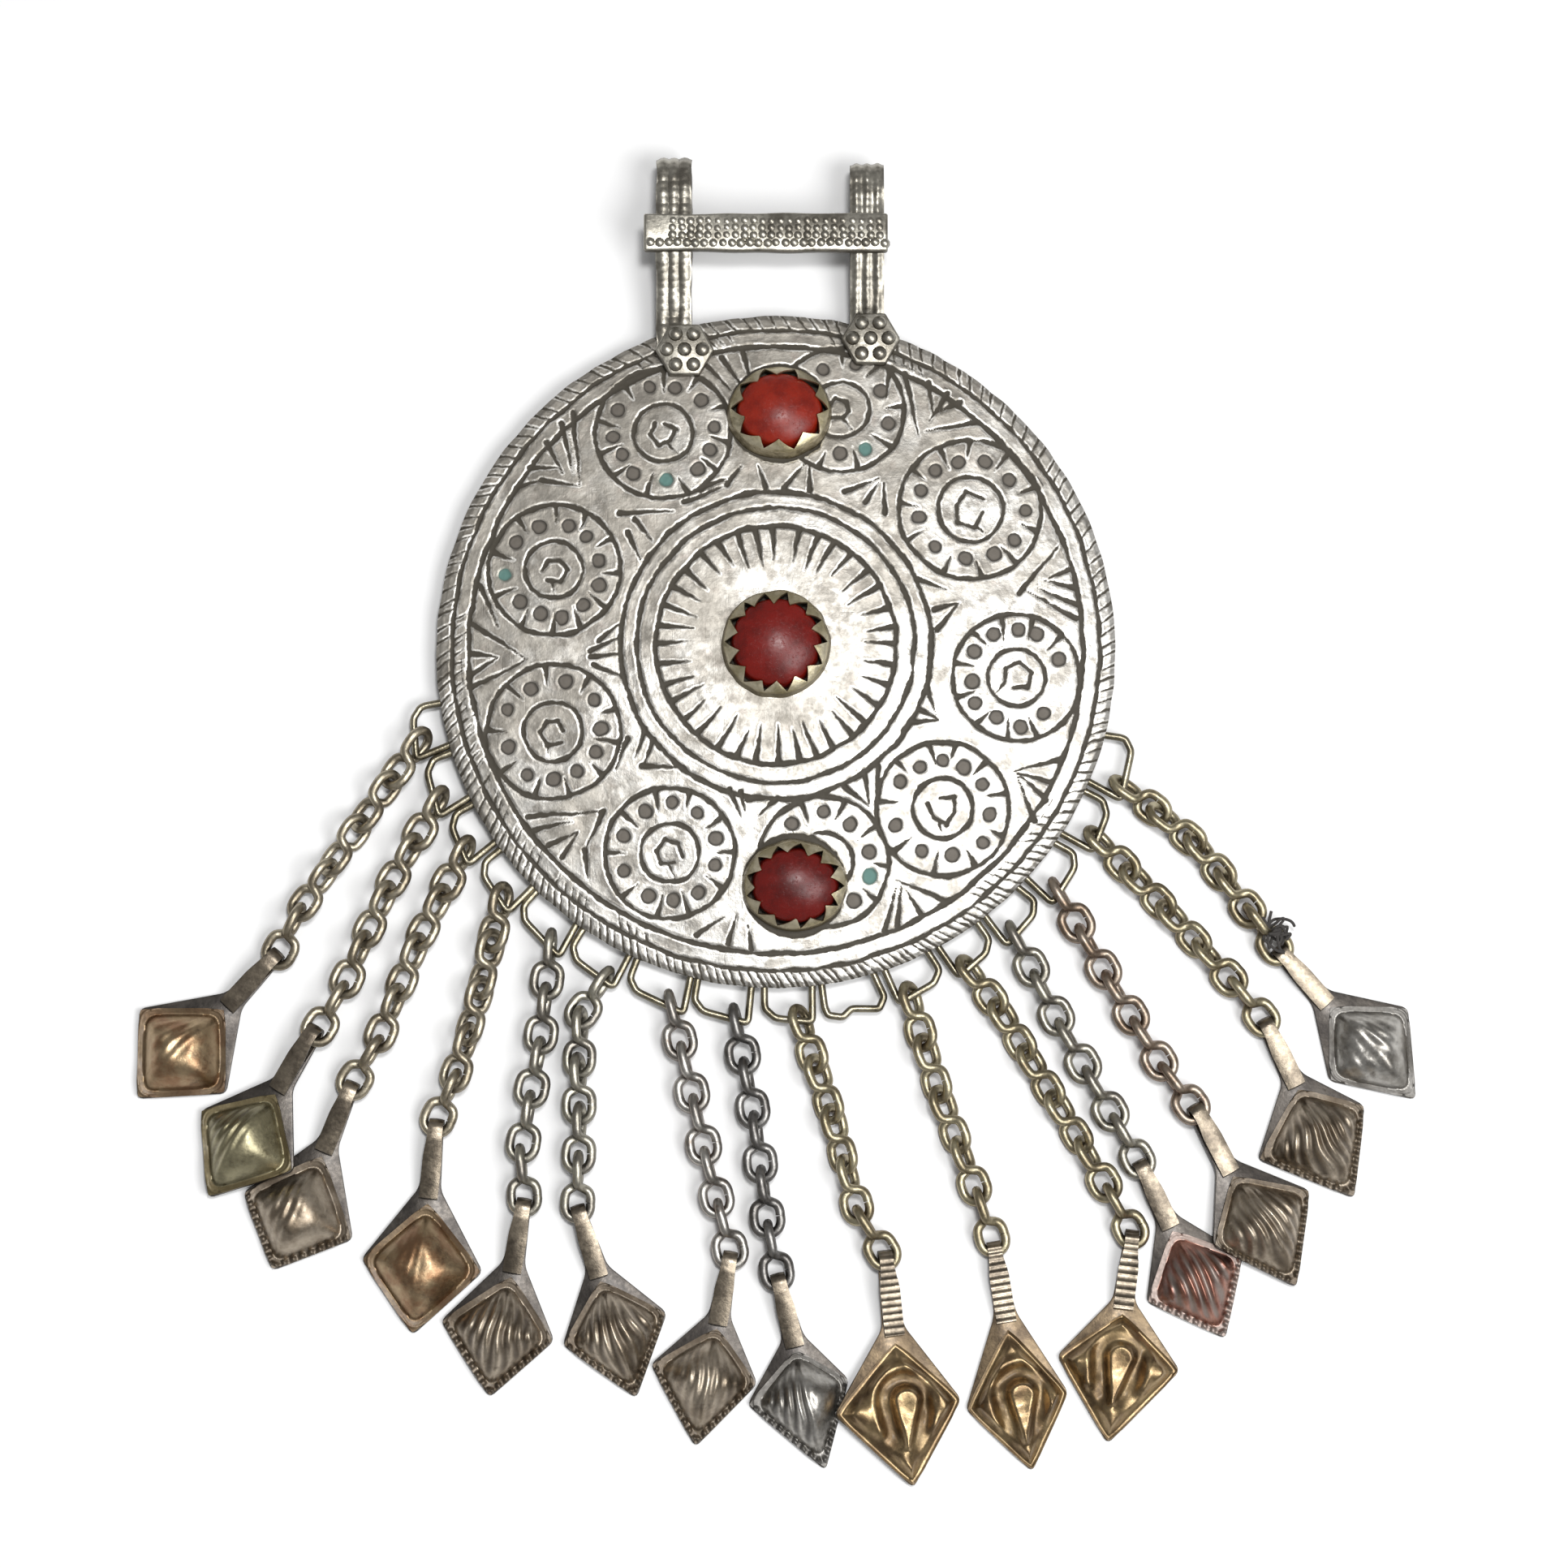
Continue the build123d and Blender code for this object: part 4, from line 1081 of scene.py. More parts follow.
link_points = figure_eight()
hand = np.random.default_rng(11)
for number, row in CHAINS.items():
    wires = []
    for start, end, roll in link_ends(number):
        place = frame_of(Vector(start), (Vector(end) - Vector(start)).normalized(), roll)
        squeeze = hand.uniform(0.94, 1.0, 2)
        wires.append([place @ Vector((x, y * squeeze[0], z * squeeze[1]))
                      for x, y, z in link_points])
    bm = bmesh.new()
    bend_wires(bm, wires, LINK_WIRE, sides=10, fine=3)
    material = WIRE_OF_CHAIN[number]
    made = make_piece(bm, f"links_{number:02d}", WIRES[material], material, f"chain_{number:02d}")
print("a chain has", len(made.data.polygons), "faces")

# %% [markdown]
# Each drop is two thin sheets. The front was pressed over a die: a puffed
# four-sided pyramid with slanting flutes, and a flat border that bears a row of
# beads on its two lower sides. It is soldered on a plain kite of sheet, whose
# long top is folded forward through the last link as a bail. A grid laid over
# the diamond and raised by a formula gives the pressed front, because a press
# also only moves the metal up.

# %% Drop looks
DropLook = namedtuple("DropLook", "sheet flutes side beads dent bail_ribs")
DROP_LOOKS = {
    1: DropLook("golden_sheet", 0.05, -1, 0, 0.5, 0),
    2: DropLook("olive_sheet", 0.13, -1, 0, 0.0, 0),
    3: DropLook("nickel_sheet", 0.09, -1, 1, 0.0, 0),
    4: DropLook("golden_sheet", 0.03, -1, 0, 0.3, 0),
    5: DropLook("nickel_sheet", 0.22, 0, 1, 0.0, 0),
    6: DropLook("nickel_sheet", 0.20, 0, 1, 0.0, 0),
    7: DropLook("nickel_sheet", 0.12, 0, 1, 0.0, 0),
    8: DropLook("silver_sheet", 0.22, -1, 1, 0.0, 0),
    9: DropLook("brass_sheet", 0, 0, 0, 0, 11),
    10: DropLook("brass_sheet", 0, 0, 0, 0, 11),
    11: DropLook("brass_sheet", 0, 0, 0, 0, 9),
    12: DropLook("copper_sheet", 0.24, 0, 1, 0.0, 0),
    13: DropLook("nickel_sheet", 0.18, 0, 1, 0.0, 0),
    14: DropLook("nickel_sheet", 0.22, 0, 1, 0.0, 0),
    15: DropLook("silver_sheet", 0.05, 0, 0, 1.0, 0),
}
SHOULDER = 0.29
SHOULDER_WIDTH = 2.6
FRONT_TOP = 0.34
BAIL_WIDTH = 1.6
BORDER_WIDTH = 0.9
BORDER_HEIGHT = 0.35
RIDGE = 0.13
PUFF_HEIGHT = 3.4
FRONT_STEPS = 66
FLUTE_PITCH = 1.15
BEAD_PITCH = 1.1
BEAD_RADIUS = 0.36
LIP_HEIGHT = 0.1
MOAT_DEPTH = 0.07
TEARDROP_LENGTH = 5.4
KITE_CORNER = 0.7
KITE_EDGE = 0.12
BAIL_RIB = 0.08
BAIL_CROWN = 0.12
LOOK_AHEAD = 0.15
PUFF_POWER = 1.9
FAN_BACK = 6.5
FAN_SPREAD = 12.5
MELT = 0.25
print(sum(look.beads for look in DROP_LOOKS.values()), "drops with beaded borders")

# %% [markdown]
# The pyramid's height falls off with a soft version of the larger of two
# distances, which rounds its ridges as a press does. The flutes are a fan of
# ripples laid over it. The boteh takes the highest of several soft mounds: a
# teardrop boss, a ring round it, a lobe to each side and a tail.

# %% Pressed fronts
def diamond(row):
    """Corners of the pressed front: top, right, point and left."""
    length = row.length * DROP_LENGTH
    widest = row.widest * length
    return [
        (FRONT_TOP * length + 0.2, 0),
        (widest, row.right * DROP_HALF_WIDTH),
        (length, 0),
        (widest, -row.left * DROP_HALF_WIDTH),
    ]


def pyramid_relief(a, b, x, y, look, corners, number):
    """Height and hollows of the puffed pyramid over the grid's a and b."""
    side = dist(corners[1], corners[2])
    rim = 1 - 2 * BORDER_WIDTH / side
    round_norm = RIDGE * np.log((np.cosh(a / RIDGE) + np.cosh(b / RIDGE)) / 2)
    full = 1 - RIDGE * log(4)
    share = np.clip(round_norm / (rim * full), 0, 1)
    round_norm = round_norm / full
    puff = PUFF_HEIGHT * (1 - share ** PUFF_POWER)
    fan = np.arctan2(y, x - corners[0][0] + FAN_BACK) * FAN_SPREAD
    fan = fan + 0.25 * uneven(x, y, 7, 50 + number)
    wave = np.cos(2 * pi * fan / FLUTE_PITCH)
    body = ease(rim - round_norm, 0.02, 0.22) * ease(x - corners[0][0], 1.0, 5.0)
    if look.side:
        body = body * ease(look.side * y, -1.2, 1.0)
    relief = puff + look.flutes * wave * body
    hollow_dirt_and_shade = np.clip(0.5 - 0.5 * wave, 0, 1) * body * 4 * look.flutes
    dent = look.dent * np.exp(-(np.square(x - corners[1][0] + 0.5) + np.square(y + 0.8)) / 5)
    return relief - dent * 1.1, hollow_dirt_and_shade, rim, round_norm, side


def boteh_relief(a, b, x, y, corners):
    """Height and hollows of a fat teardrop in a ring, with a lobe to each side."""
    side = dist(corners[1], corners[2])
    rim = 1 - 0.9 * BORDER_WIDTH / side
    round_norm = np.maximum(np.abs(a), np.abs(b))
    middle = corners[1][0]
    u, v = x - middle + 0.6, y - 0.3
    spine = np.clip(u / TEARDROP_LENGTH, 0, 1)
    girth = 2.1 - 1.3 * spine
    off = np.hypot(u - spine * TEARDROP_LENGTH, v + spine * 0.5) - girth
    boss = 2.0 * np.exp(-np.square(np.maximum(off + 1.0, 0) / 0.8))
    ring = 1.5 * np.exp(-np.square((off - 1.9) / 0.95)) * ease(TEARDROP_LENGTH - u, 0.0, 2.5)
    right, left = corners[1][1], -corners[3][1]
    wings = 0
    for reach, sign in ((right, 1), (left, -1)):
        out = sign * y
        thick = 3.2 - 2.0 * np.clip(out / reach, 0, 1)
        wings = wings + (1.6 * np.exp(-np.square((u - 0.9) / thick)) * ease(out, 2.2, 3.6)
                         * ease(reach - out, 0.6, 2.4))
    tail = 1.5 * np.exp(-np.square((v + 0.4) / 1.7)) * ease(u, 3.6, 6.4)
    forms = [boss, ring, wings, tail, 0.5]
    relief = MELT * np.log(sum(np.exp(form / MELT) for form in forms)) - 0.1
    relief = relief + 0.15 * uneven(x, y, 3.5, 90 + round(10 * right))
    inside = ease(rim - round_norm, 0.0, 0.2)
    hollow_dirt_and_shade = np.clip(0.7 - 0.45 * relief, 0, 1) + 0.35 * np.exp(-np.square((off - 0.4) / 0.4))
    return relief * inside, hollow_dirt_and_shade * inside, rim, round_norm, side


def pressed_front(number):
    """The pressed sheet of one drop, in the drop's own frame."""
    row, look = CHAINS[number], DROP_LOOKS[number]
    corners = diamond(row)
    bm = bmesh.new()
    bmesh.ops.create_grid(bm, x_segments=FRONT_STEPS, y_segments=FRONT_STEPS, size=1)
    a, b, _ = places(bm).T
    weights = [(1 - a) * (1 - b), (1 + a) * (1 - b), (1 + a) * (1 + b), (1 - a) * (1 + b)]
    x = sum(w * corner[0] for w, corner in zip(weights, corners)) / 4
    y = sum(w * corner[1] for w, corner in zip(weights, corners)) / 4
    if row.boteh:
        relief, hollow_dirt_and_shade, rim, norm, side = boteh_relief(a, b, x, y, corners)
    else:
        relief, hollow_dirt_and_shade, rim, norm, side = pyramid_relief(a, b, x, y, look, corners, number)
    border = BAIL_SHEET + BORDER_HEIGHT + 0.1 * uneven(x, y, 6, 70 + number)
    lip = LIP_HEIGHT * np.exp(-np.square((norm - 0.985) / 0.02))
    moat = MOAT_DEPTH * np.exp(-np.square((norm - rim - 0.01) / 0.035))
    z = border + relief + lip - moat
    hollow_dirt_and_shade = np.maximum(hollow_dirt_and_shade, 0.3 * np.exp(-np.square((norm - rim - 0.01) / 0.04)))
    # Painted shade: the flat border is stored as nearly full hollow, so the stain colour darkens
    # it.
    hollow_dirt_and_shade = np.maximum(hollow_dirt_and_shade, 0.9 * ease(norm, rim, rim + 0.03))
    if look.beads:
        row_at = (1 + rim) / 2 + 0.015
        for across, beside in ((a, b), (b, a)):
            run = beside * side / 2
            nearest = np.round(run / BEAD_PITCH) * BEAD_PITCH
            off = np.hypot(run - nearest, (across - row_at) * side / 2)
            bead = np.sqrt(np.clip(BEAD_RADIUS**2 - np.square(off), 0, None))
            z = z + np.where(np.abs(run) < side / 2 - 0.6, bead, 0) * 0.9
            hollow_dirt_and_shade = np.maximum(hollow_dirt_and_shade, 0.8 * np.exp(-np.square((off - 0.5) / 0.15))
                                * (across > rim))
    soft = 1 - 0.035 * np.clip(np.abs(a) + np.abs(b) - 1.55, 0, 1) ** 1.5 * 4
    middle = corners[1][0]
    move_to(bm, middle + (x - middle) * soft, y * soft, z)
    edge = bmesh.ops.extrude_edge_only(bm, edges=[e for e in bm.edges if e.is_boundary])
    skirt = verts_of(edge)
    for vert in skirt:
        vert.co.z = BAIL_SHEET
    bmesh.ops.edgeloop_fill(bm, edges=[e for e in bm.edges if e.is_boundary])
    return face_out(bm), np.concatenate([hollow_dirt_and_shade, np.zeros(len(skirt))])


print("a front has", FRONT_STEPS**2, "cells")

# %% [markdown]
# The kite behind a front is one outline, extruded to the sheet's thickness. The
# bail is a strip that follows a path in side view: along the kite, round the
# wire of the last eye, and back down to the front.

# %% Backing kites and folded bails
def backing(row):
    """The plain kite of sheet behind a front, in the drop's own frame."""
    length = row.length * DROP_LENGTH
    outline = [
        (0, -BAIL_WIDTH / 2),
        (SHOULDER * length, -SHOULDER_WIDTH / 2),
        (row.widest * length, -row.left * DROP_HALF_WIDTH),
        (length, 0),
        (row.widest * length, row.right * DROP_HALF_WIDTH),
        (SHOULDER * length, SHOULDER_WIDTH / 2),
        (0, BAIL_WIDTH / 2),
    ]
    bm = bmesh.new()
    face = bm.faces.new([bm.verts.new((x, y, 0)) for x, y in outline])
    lifted = bmesh.ops.extrude_face_region(bm, geom=[face])
    bmesh.ops.translate(bm, vec=(0, 0, BAIL_SHEET), verts=verts_of(lifted))
    upright = [e for e in bm.edges if abs(e.verts[0].co.z - e.verts[1].co.z) > 0.1]
    round_edges(bm, [e for e in upright if e.verts[0].co.x > 1], KITE_CORNER)
    round_edges(bm, [e for e in bm.edges if not e.is_boundary
                     and abs(e.calc_face_angle(0) - pi / 2) < 0.2
                     and abs(e.verts[0].co.z - e.verts[1].co.z) < 0.1], KITE_EDGE, 2)
    return face_out(bm)


def bent_strip(path, width, thick, rows, columns, relief=None):
    """A strip of sheet bent along a path of (x, z) points, y across it."""
    bm = bmesh.new()
    bmesh.ops.create_grid(bm, x_segments=rows, y_segments=columns, size=0.5)
    s, t, _ = places(bm).T
    path = np.asarray(path, float)
    gone = np.concatenate([[0], np.cumsum(np.hypot(*np.diff(path, axis=0).T))])
    reach = (s + 0.5) * gone[-1]

    def on_path(at):
        """The path's x and z at distances along it."""
        return np.array([np.interp(at, gone, line) for line in path.T])

    x, z = on_path(reach)
    tx, tz = (on_path(np.minimum(reach + LOOK_AHEAD, gone[-1]))
              - on_path(np.maximum(reach - LOOK_AHEAD, 0)))
    length = np.hypot(tx, tz)
    out_x, out_z = -tz / length, tx / length
    y = t * (width(reach) if callable(width) else width)
    rise = relief(reach, y) if relief else 0 * s
    move_to(bm, x + out_x * rise, y, z + out_z * rise)
    return thicken(bm, thick)


def arc_points(centre, radius, first, last, steps=12):
    """Points round an arc, in degrees."""
    return [polar(*centre, angle, radius) for angle in np.linspace(first, last, steps)]


def bail(number):
    """The strip that runs up from the kite, round the last eye and back down."""
    row, look = CHAINS[number], DROP_LOOKS[number]
    fold = BAIL_SHEET / 2 + BAIL_FOLD
    low_z, high_z = BAIL_SHEET, BAIL_SHEET / 2 + 2 * fold
    turn = (high_z - low_z) / 2
    shoulder = SHOULDER * row.length * DROP_LENGTH
    path = [(3.0, low_z), (0, low_z)] + arc_points((0, low_z + turn), turn, 270, 90, 14)
    path += [(LINK_WIRE, high_z), (shoulder + 1.0, BAIL_SHEET + 0.45)]
    bend = 3 + pi * fold

    def width(reach):
        """Narrow through the eye, a little wider where it is soldered."""
        return BAIL_WIDTH + (0.7 if look.bail_ribs else 0.45) * ease(reach, bend, bend + 3)

    def ribs(reach, y):
        """The corrugation of the boteh drops' bails."""
        if not look.bail_ribs:
            return -BAIL_CROWN * np.square(y)
        pitch = (shoulder + 1.5) / look.bail_ribs
        return BAIL_RIB * np.cos(2 * pi * reach / pitch)

    return bent_strip(path, width, -BAIL_SHEET * 0.8, 90, 6, ribs)


def drop_frame(number):
    """Where a drop lies: its fold through the middle of the last eye."""
    row = CHAINS[number]
    start, end, _ = link_ends(number)[-1]
    pull = (Vector(end) - Vector(start)).normalized()
    turn = radians(row.heading)
    heading = Vector((cos(turn), sin(turn), 0))
    fold = Vector(end) - pull * EYE_RADIUS + heading * (BAIL_FOLD + BAIL_SHEET / 2)
    return frame_of(Vector((fold.x, fold.y, drop_lift(row))), heading, row.tip)


for number, look in DROP_LOOKS.items():
    place = drop_frame(number)
    solid = f"drop_{number:02d}"
    slot = look.sheet.replace("olive", "golden")
    bm, hollow_dirt_and_shade = pressed_front(number)
    front = make_piece(bm, f"front_{number:02d}", SHEETS[look.sheet], slot, solid,
                       crease=60, at=place)
    paint(front, "hollow_dirt_and_shade", hollow_dirt_and_shade)
    back = SHEETS["brown_backing" if CHAINS[number].boteh else "backing_sheet"]
    make_piece(backing(CHAINS[number]), f"backing_{number:02d}", back, slot, solid,
               crease=40, at=place)
    make_piece(bail(number), f"bail_{number:02d}", SHEETS["bail_sheet"], slot, solid, at=place)
print(len(DROP_LOOKS), "drops, each a front, a backing and a bail")

# %% [markdown]
# Each stone sits in a collar of thin brassy sheet, cut along its top like a saw
# blade, whose few large teeth are bent in over the stone. The teeth are
# crumpled, and no two are alike. The collar starts as a circle, is extruded
# upwards ring by ring, and is then bent: the higher a vertex is on a tooth, the
# further in it leans.

# %% Saw-tooth collars and stones
STONE_GAP = 0.06
STONE_BASE = 5.35
STONE_TAPER = 0.3
STONE_WALL = 2.0
STONE_HEIGHT = 3.4
COLLAR_FOOT = 6.5
COLLAR_TOP = 6.1
COLLAR_SUNK = 0.5
WALL_HEIGHT = 1.55
TOOTH_STEPS = 12
COLLAR_RINGS = 10
TOOTH_REACH = 1.5
TOOTH_RISE = 0.95
COLLAR_SHEET = 0.28


def setting_frame(setting):
    """A frame that lies on the dome at a setting, with its own up."""
    r = hypot(setting.x, setting.y)
    seat = Vector((setting.x, setting.y, float(dome_height(r))))
    up = (seat - Vector((0, 0, float(dome_height(0)) - DOME_SPHERE))).normalized()
    across = Vector((1, 0, 0))
    across = (across - up * across.dot(up)).normalized()
    turn = Matrix((across, up.cross(across), up)).transposed().to_4x4()
    oval = Matrix.Diagonal((setting.long, setting.short, 1, 1))
    return Matrix.Translation(seat) @ turn @ oval


def saw_collar(teeth, seed):
    """A toothed collar round a stone, standing on the dome."""
    rng = np.random.default_rng(seed)
    bm = bmesh.new()
    bmesh.ops.create_circle(bm, segments=teeth * TOOTH_STEPS, radius=COLLAR_FOOT)
    loop = bm.edges[:]
    for _ in range(COLLAR_RINGS):
        grown = bmesh.ops.extrude_edge_only(bm, edges=loop)
        raised = set(verts_of(grown))
        bmesh.ops.translate(bm, vec=(0, 0, 1 / COLLAR_RINGS), verts=list(raised))
        loop = [e for e in grown["geom"]
                if isinstance(e, bmesh.types.BMEdge) and raised.issuperset(e.verts)]
    x, y, level = places(bm).T
    angle = np.arctan2(y, x)
    tooth = angle / (2 * pi) * teeth + 1e-6
    index, phase = np.floor(tooth).astype(int) % teeth, tooth % 1
    peak = rng.uniform(0.72, 0.9, teeth)[index]
    saw = np.where(phase < peak, phase / peak, (1 - phase) / (1 - peak))
    wall = np.minimum(level * 2, 1)
    reach = rng.uniform(0.8, 1.12, teeth)[index]
    bent = np.maximum(level * 2 - 1, 0) * (0.06 + 0.94 * saw) * reach
    radius = COLLAR_FOOT + (COLLAR_TOP - COLLAR_FOOT) * wall - TOOTH_REACH * bent
    radius = radius + 0.07 * uneven(x, y, 3.5, seed + 5)
    crumpled = rng.uniform(-0.3, 0.3, teeth)[index] * bent * (phase - 0.5)
    height = wall * (WALL_HEIGHT + COLLAR_SUNK) - COLLAR_SUNK + TOOTH_RISE * bent ** 0.8 + crumpled
    swing = angle - rng.uniform(0.05, 0.35, teeth)[index] * bent * 2 * pi / teeth
    move_to(bm, radius * np.cos(swing), radius * np.sin(swing), height)
    return thicken(bm, COLLAR_SHEET)


def glass_stone():
    """A round stone: a wall that leans in a little under a low dome."""
    shoulder = STONE_BASE - STONE_TAPER
    crown = STONE_HEIGHT - STONE_WALL
    sphere = (shoulder**2 + crown**2) / (2 * crown)
    profile = [(0, STONE_GAP), (STONE_BASE, STONE_GAP), (shoulder + 0.03, STONE_WALL - 0.35)]
    for share in np.linspace(0.97, 0, 26):
        r = shoulder * share
        profile.append((r, STONE_HEIGHT - sphere + sqrt(sphere**2 - r**2) - 0.16 * share**8))
    bm = bmesh.new()
    verts = [bm.verts.new((r, 0, z)) for r, z in profile]
    for pair in zip(verts, verts[1:]):
        bm.edges.new(pair)
    bmesh.ops.spin(bm, geom=bm.verts[:] + bm.edges[:], cent=(0, 0, 0), axis=(0, 0, 1),
                   angle=2 * pi, steps=96, use_merge=True)
    bmesh.ops.remove_doubles(bm, verts=bm.verts, dist=WELD)
    x, y, z = places(bm).T
    swell = 1 + 0.008 * uneven(x, y, 5, 61)
    move_to(bm, x * swell, y * swell, z)
    return face_out(bm)


for seed, (name, setting) in enumerate(SETTINGS.items(), 3):
    place = setting_frame(setting)
    collar = make_piece(saw_collar(setting.teeth, seed), name.replace("stone", "collar"),
                        SHEETS["bezel_brass"], "engraved_silver", SILVER, crease=40, at=place)
    make_piece(glass_stone(), name.replace("stone", "cabochon"), GLASS[name], "red_glass", name,
               crease=40, at=place)
print("a collar has", len(collar.data.polygons), "faces")

# %% [markdown]
# The hanger's straps are strips of ribbed sheet, bent into standing loops that a
# cord can pass through. Each runs from under the disc, forwards along the
# ground, up and over, and back down to the face of the disc. The ribs were
# rolled in, with a bead every millimetre.

# %% Straps
STRAP_WIDTH = 4.0
STRAP_SHEET = 0.8
STRAP_OPENING = 4.8
STRAP_TOP = 59.0
STRAP_FLAT = 12.0
STRAP_RIB_PROUD = 0.25
STRAP_BACK_END = 30.0
RIB_SPACING = 1.25
RIB_WIDTH = 0.4
RIB_HEIGHT = 0.25
RIB_BEAD_PITCH = 0.9
Strap = namedtuple("Strap", "x plate_aside plate_inset")
STRAPS = {"left": Strap(-12.1, 1.3, 4.6), "right": Strap(10.8, 0.4, 3.2)}


def strap_ribs(reach, across):
    """Three beaded ribs along the strip."""
    ribs = sum(np.exp(-np.square(off / RIB_WIDTH))
               for off in (np.abs(across) - RIB_SPACING, across))
    beads = 0.88 + 0.12 * np.cos(2 * pi * reach / RIB_BEAD_PITCH)
    return -RIB_HEIGHT * ribs * beads + 0.07 * uneven(reach, across, 2.5, 81)


def strap(row):
    """A ribbed strip bent into a standing loop, in the frame of its own middle."""
    low_z = STRAP_SHEET + STRAP_RIB_PROUD
    high_z = low_z + STRAP_SHEET / 2 + STRAP_OPENING
    knee, foot, tip = STRAP_TOP - STRAP_FLAT, DISC_RADIUS - row.plate_inset, STRAP_TOP - low_z
    turn = (high_z - low_z) / 2 - FLOOR_GAP
    sunk = 0.3 * STRAP_SHEET
    back = float(dome_height(hypot(row.x, STRAP_BACK_END))) - SHEET - sunk
    front = float(dome_height(hypot(row.x, foot))) + sunk
    path = [(STRAP_BACK_END, back), (DISC_RADIUS - SHEET, RIM_UNDERSIDE - sunk)]
    path += [(knee, low_z)]
    path += arc_points((tip - turn, low_z + turn), turn, 270, 360)
    path += arc_points((tip - turn, high_z - turn), turn, 0, 90)
    path += [(knee, high_z), (DISC_RADIUS, front + sunk), (foot, front)]
    return bent_strip(path, STRAP_WIDTH, STRAP_SHEET * 0.8, 260, 26, strap_ribs)


for name, row in STRAPS.items():
    turned = Matrix(((0, -1, 0, row.x), (1, 0, 0, 0), (0, 0, 1, 0), (0, 0, 0, 1)))
    made = make_piece(strap(row), f"strap_{name}", SHEETS["hanger_silver"],
                      "engraved_silver", SILVER, crease=60, at=turned)
print("a strap has", len(made.data.polygons), "faces")

# %% [markdown]
# The bar across the straps is a flat piece edged with plain wire and covered in
# grains: tiny silver balls, melted from snippets and soldered on in rows. They
# sit deep in the solder, so only their tops show. Two six-sided plates cover the
# straps' feet, each with seven bosses pushed up from behind.

# %% Grained bar and foot plates
BAR_LEFT, BAR_RIGHT = -15.6, 13.2
BAR_BOTTOM, BAR_HEIGHT, BAR_THICKNESS = 46.6, 4.4, 1.4
BAR_EDGE = 0.3
GRAIN_RADIUS = 0.68
GRAIN_PITCH = 1.06
GRAIN_ROWS = {1.45: 3.4, 0.6: 3.4, -0.25: 3.4, -1.15: 0.8}
PLATE_RADIUS = 3.5
PLATE_THICKNESS = 1.0
PLATE_EDGE = 0.22
BOSS_RADIUS = 0.85
BOSS_RING = 2.1


def grained_bar():
    """A bar with four rows of grains and a plain strip above them."""
    under = STRAP_SHEET * 2 + STRAP_OPENING + STRAP_RIB_PROUD
    length = BAR_RIGHT - BAR_LEFT
    bm = bmesh.new()
    bmesh.ops.create_cube(bm, size=1)
    lengthwise = [e for e in bm.edges if abs(e.verts[0].co.x - e.verts[1].co.x) > 0.5]
    bmesh.ops.subdivide_edges(bm, edges=lengthwise, cuts=48)
    bmesh.ops.scale(bm, vec=(length, BAR_HEIGHT, BAR_THICKNESS), verts=bm.verts)
    round_edges(bm, [e for e in bm.edges if len(e.link_faces) == 2 and e.calc_face_angle() > 1],
                BAR_EDGE)
    x, y, z = places(bm).T
    edge = np.abs(y) / (BAR_HEIGHT / 2)
    y = y * (1.06 - 0.03 * (1 + uneven(x, 0 * x, 5, 91)) * edge) + 0.1
    wire = 0.2 * np.exp(-np.square((y - 2.1) / 0.3)) * (z > 0)
    move_to(bm, x, y, z + wire + 0.05 * uneven(x, y, 6, 92))
    rng = np.random.default_rng(5)
    for across, inset in GRAIN_ROWS.items():
        for at in np.arange(-length / 2 + inset, length / 2 - 0.4, GRAIN_PITCH):
            ball = bmesh.ops.create_icosphere(bm, subdivisions=2, radius=GRAIN_RADIUS)
            wander = rng.uniform(-0.08, 0.08, 2)
            bmesh.ops.translate(bm, verts=ball["verts"],
                                vec=(at + wander[0], across + wander[1],
                                     BAR_THICKNESS / 2 - rng.uniform(0.3, 0.38)))
    bmesh.ops.translate(bm, verts=bm.verts, vec=(
        (BAR_LEFT + BAR_RIGHT) / 2, BAR_BOTTOM + BAR_HEIGHT / 2, under + BAR_THICKNESS / 2))
    return face_out(bm)


def foot_plate(row):
    """A hexagonal plate with one boss in the middle and six round it."""
    x = row.x + row.plate_aside
    y = DISC_RADIUS - row.plate_inset
    seat = float(dome_height(hypot(x, y))) - SHEET / 2
    thick = SHEET / 2 + STRAP_SHEET + PLATE_THICKNESS
    bm = bmesh.new()
    bmesh.ops.create_circle(bm, cap_ends=True, segments=6, radius=PLATE_RADIUS)
    lifted = bmesh.ops.extrude_face_region(bm, geom=bm.faces[:])
    bmesh.ops.translate(bm, vec=(0, 0, thick), verts=verts_of(lifted))
    round_edges(bm, bm.edges[:], PLATE_EDGE)
    bmesh.ops.rotate(bm, verts=bm.verts, matrix=Matrix.Rotation(radians(30), 3, "Z"))
    for at in [(0, 0)] + [polar(0, 0, 60 * i, BOSS_RING) for i in range(6)]:
        ball = bmesh.ops.create_uvsphere(bm, u_segments=20, v_segments=12, radius=BOSS_RADIUS)
        bmesh.ops.scale(bm, vec=(1, 1, 0.8), verts=ball["verts"])
        bmesh.ops.translate(bm, vec=(*at, thick), verts=ball["verts"])
    bmesh.ops.translate(bm, vec=(x, y, seat), verts=bm.verts)
    return face_out(bm)


make_piece(grained_bar(), "grained_bar", SHEETS["hanger_silver"], "engraved_silver", SILVER)
for name, row in STRAPS.items():
    make_piece(foot_plate(row), f"foot_plate_{name}", SHEETS["hanger_silver"],
               "engraved_silver", SILVER)
print("the hanger is dressed")

# %% [markdown]
# A scrap of dark thread has caught on the last link of the chain at the far
# right. It is a few wandering turns of one thin strand, laid over that link.

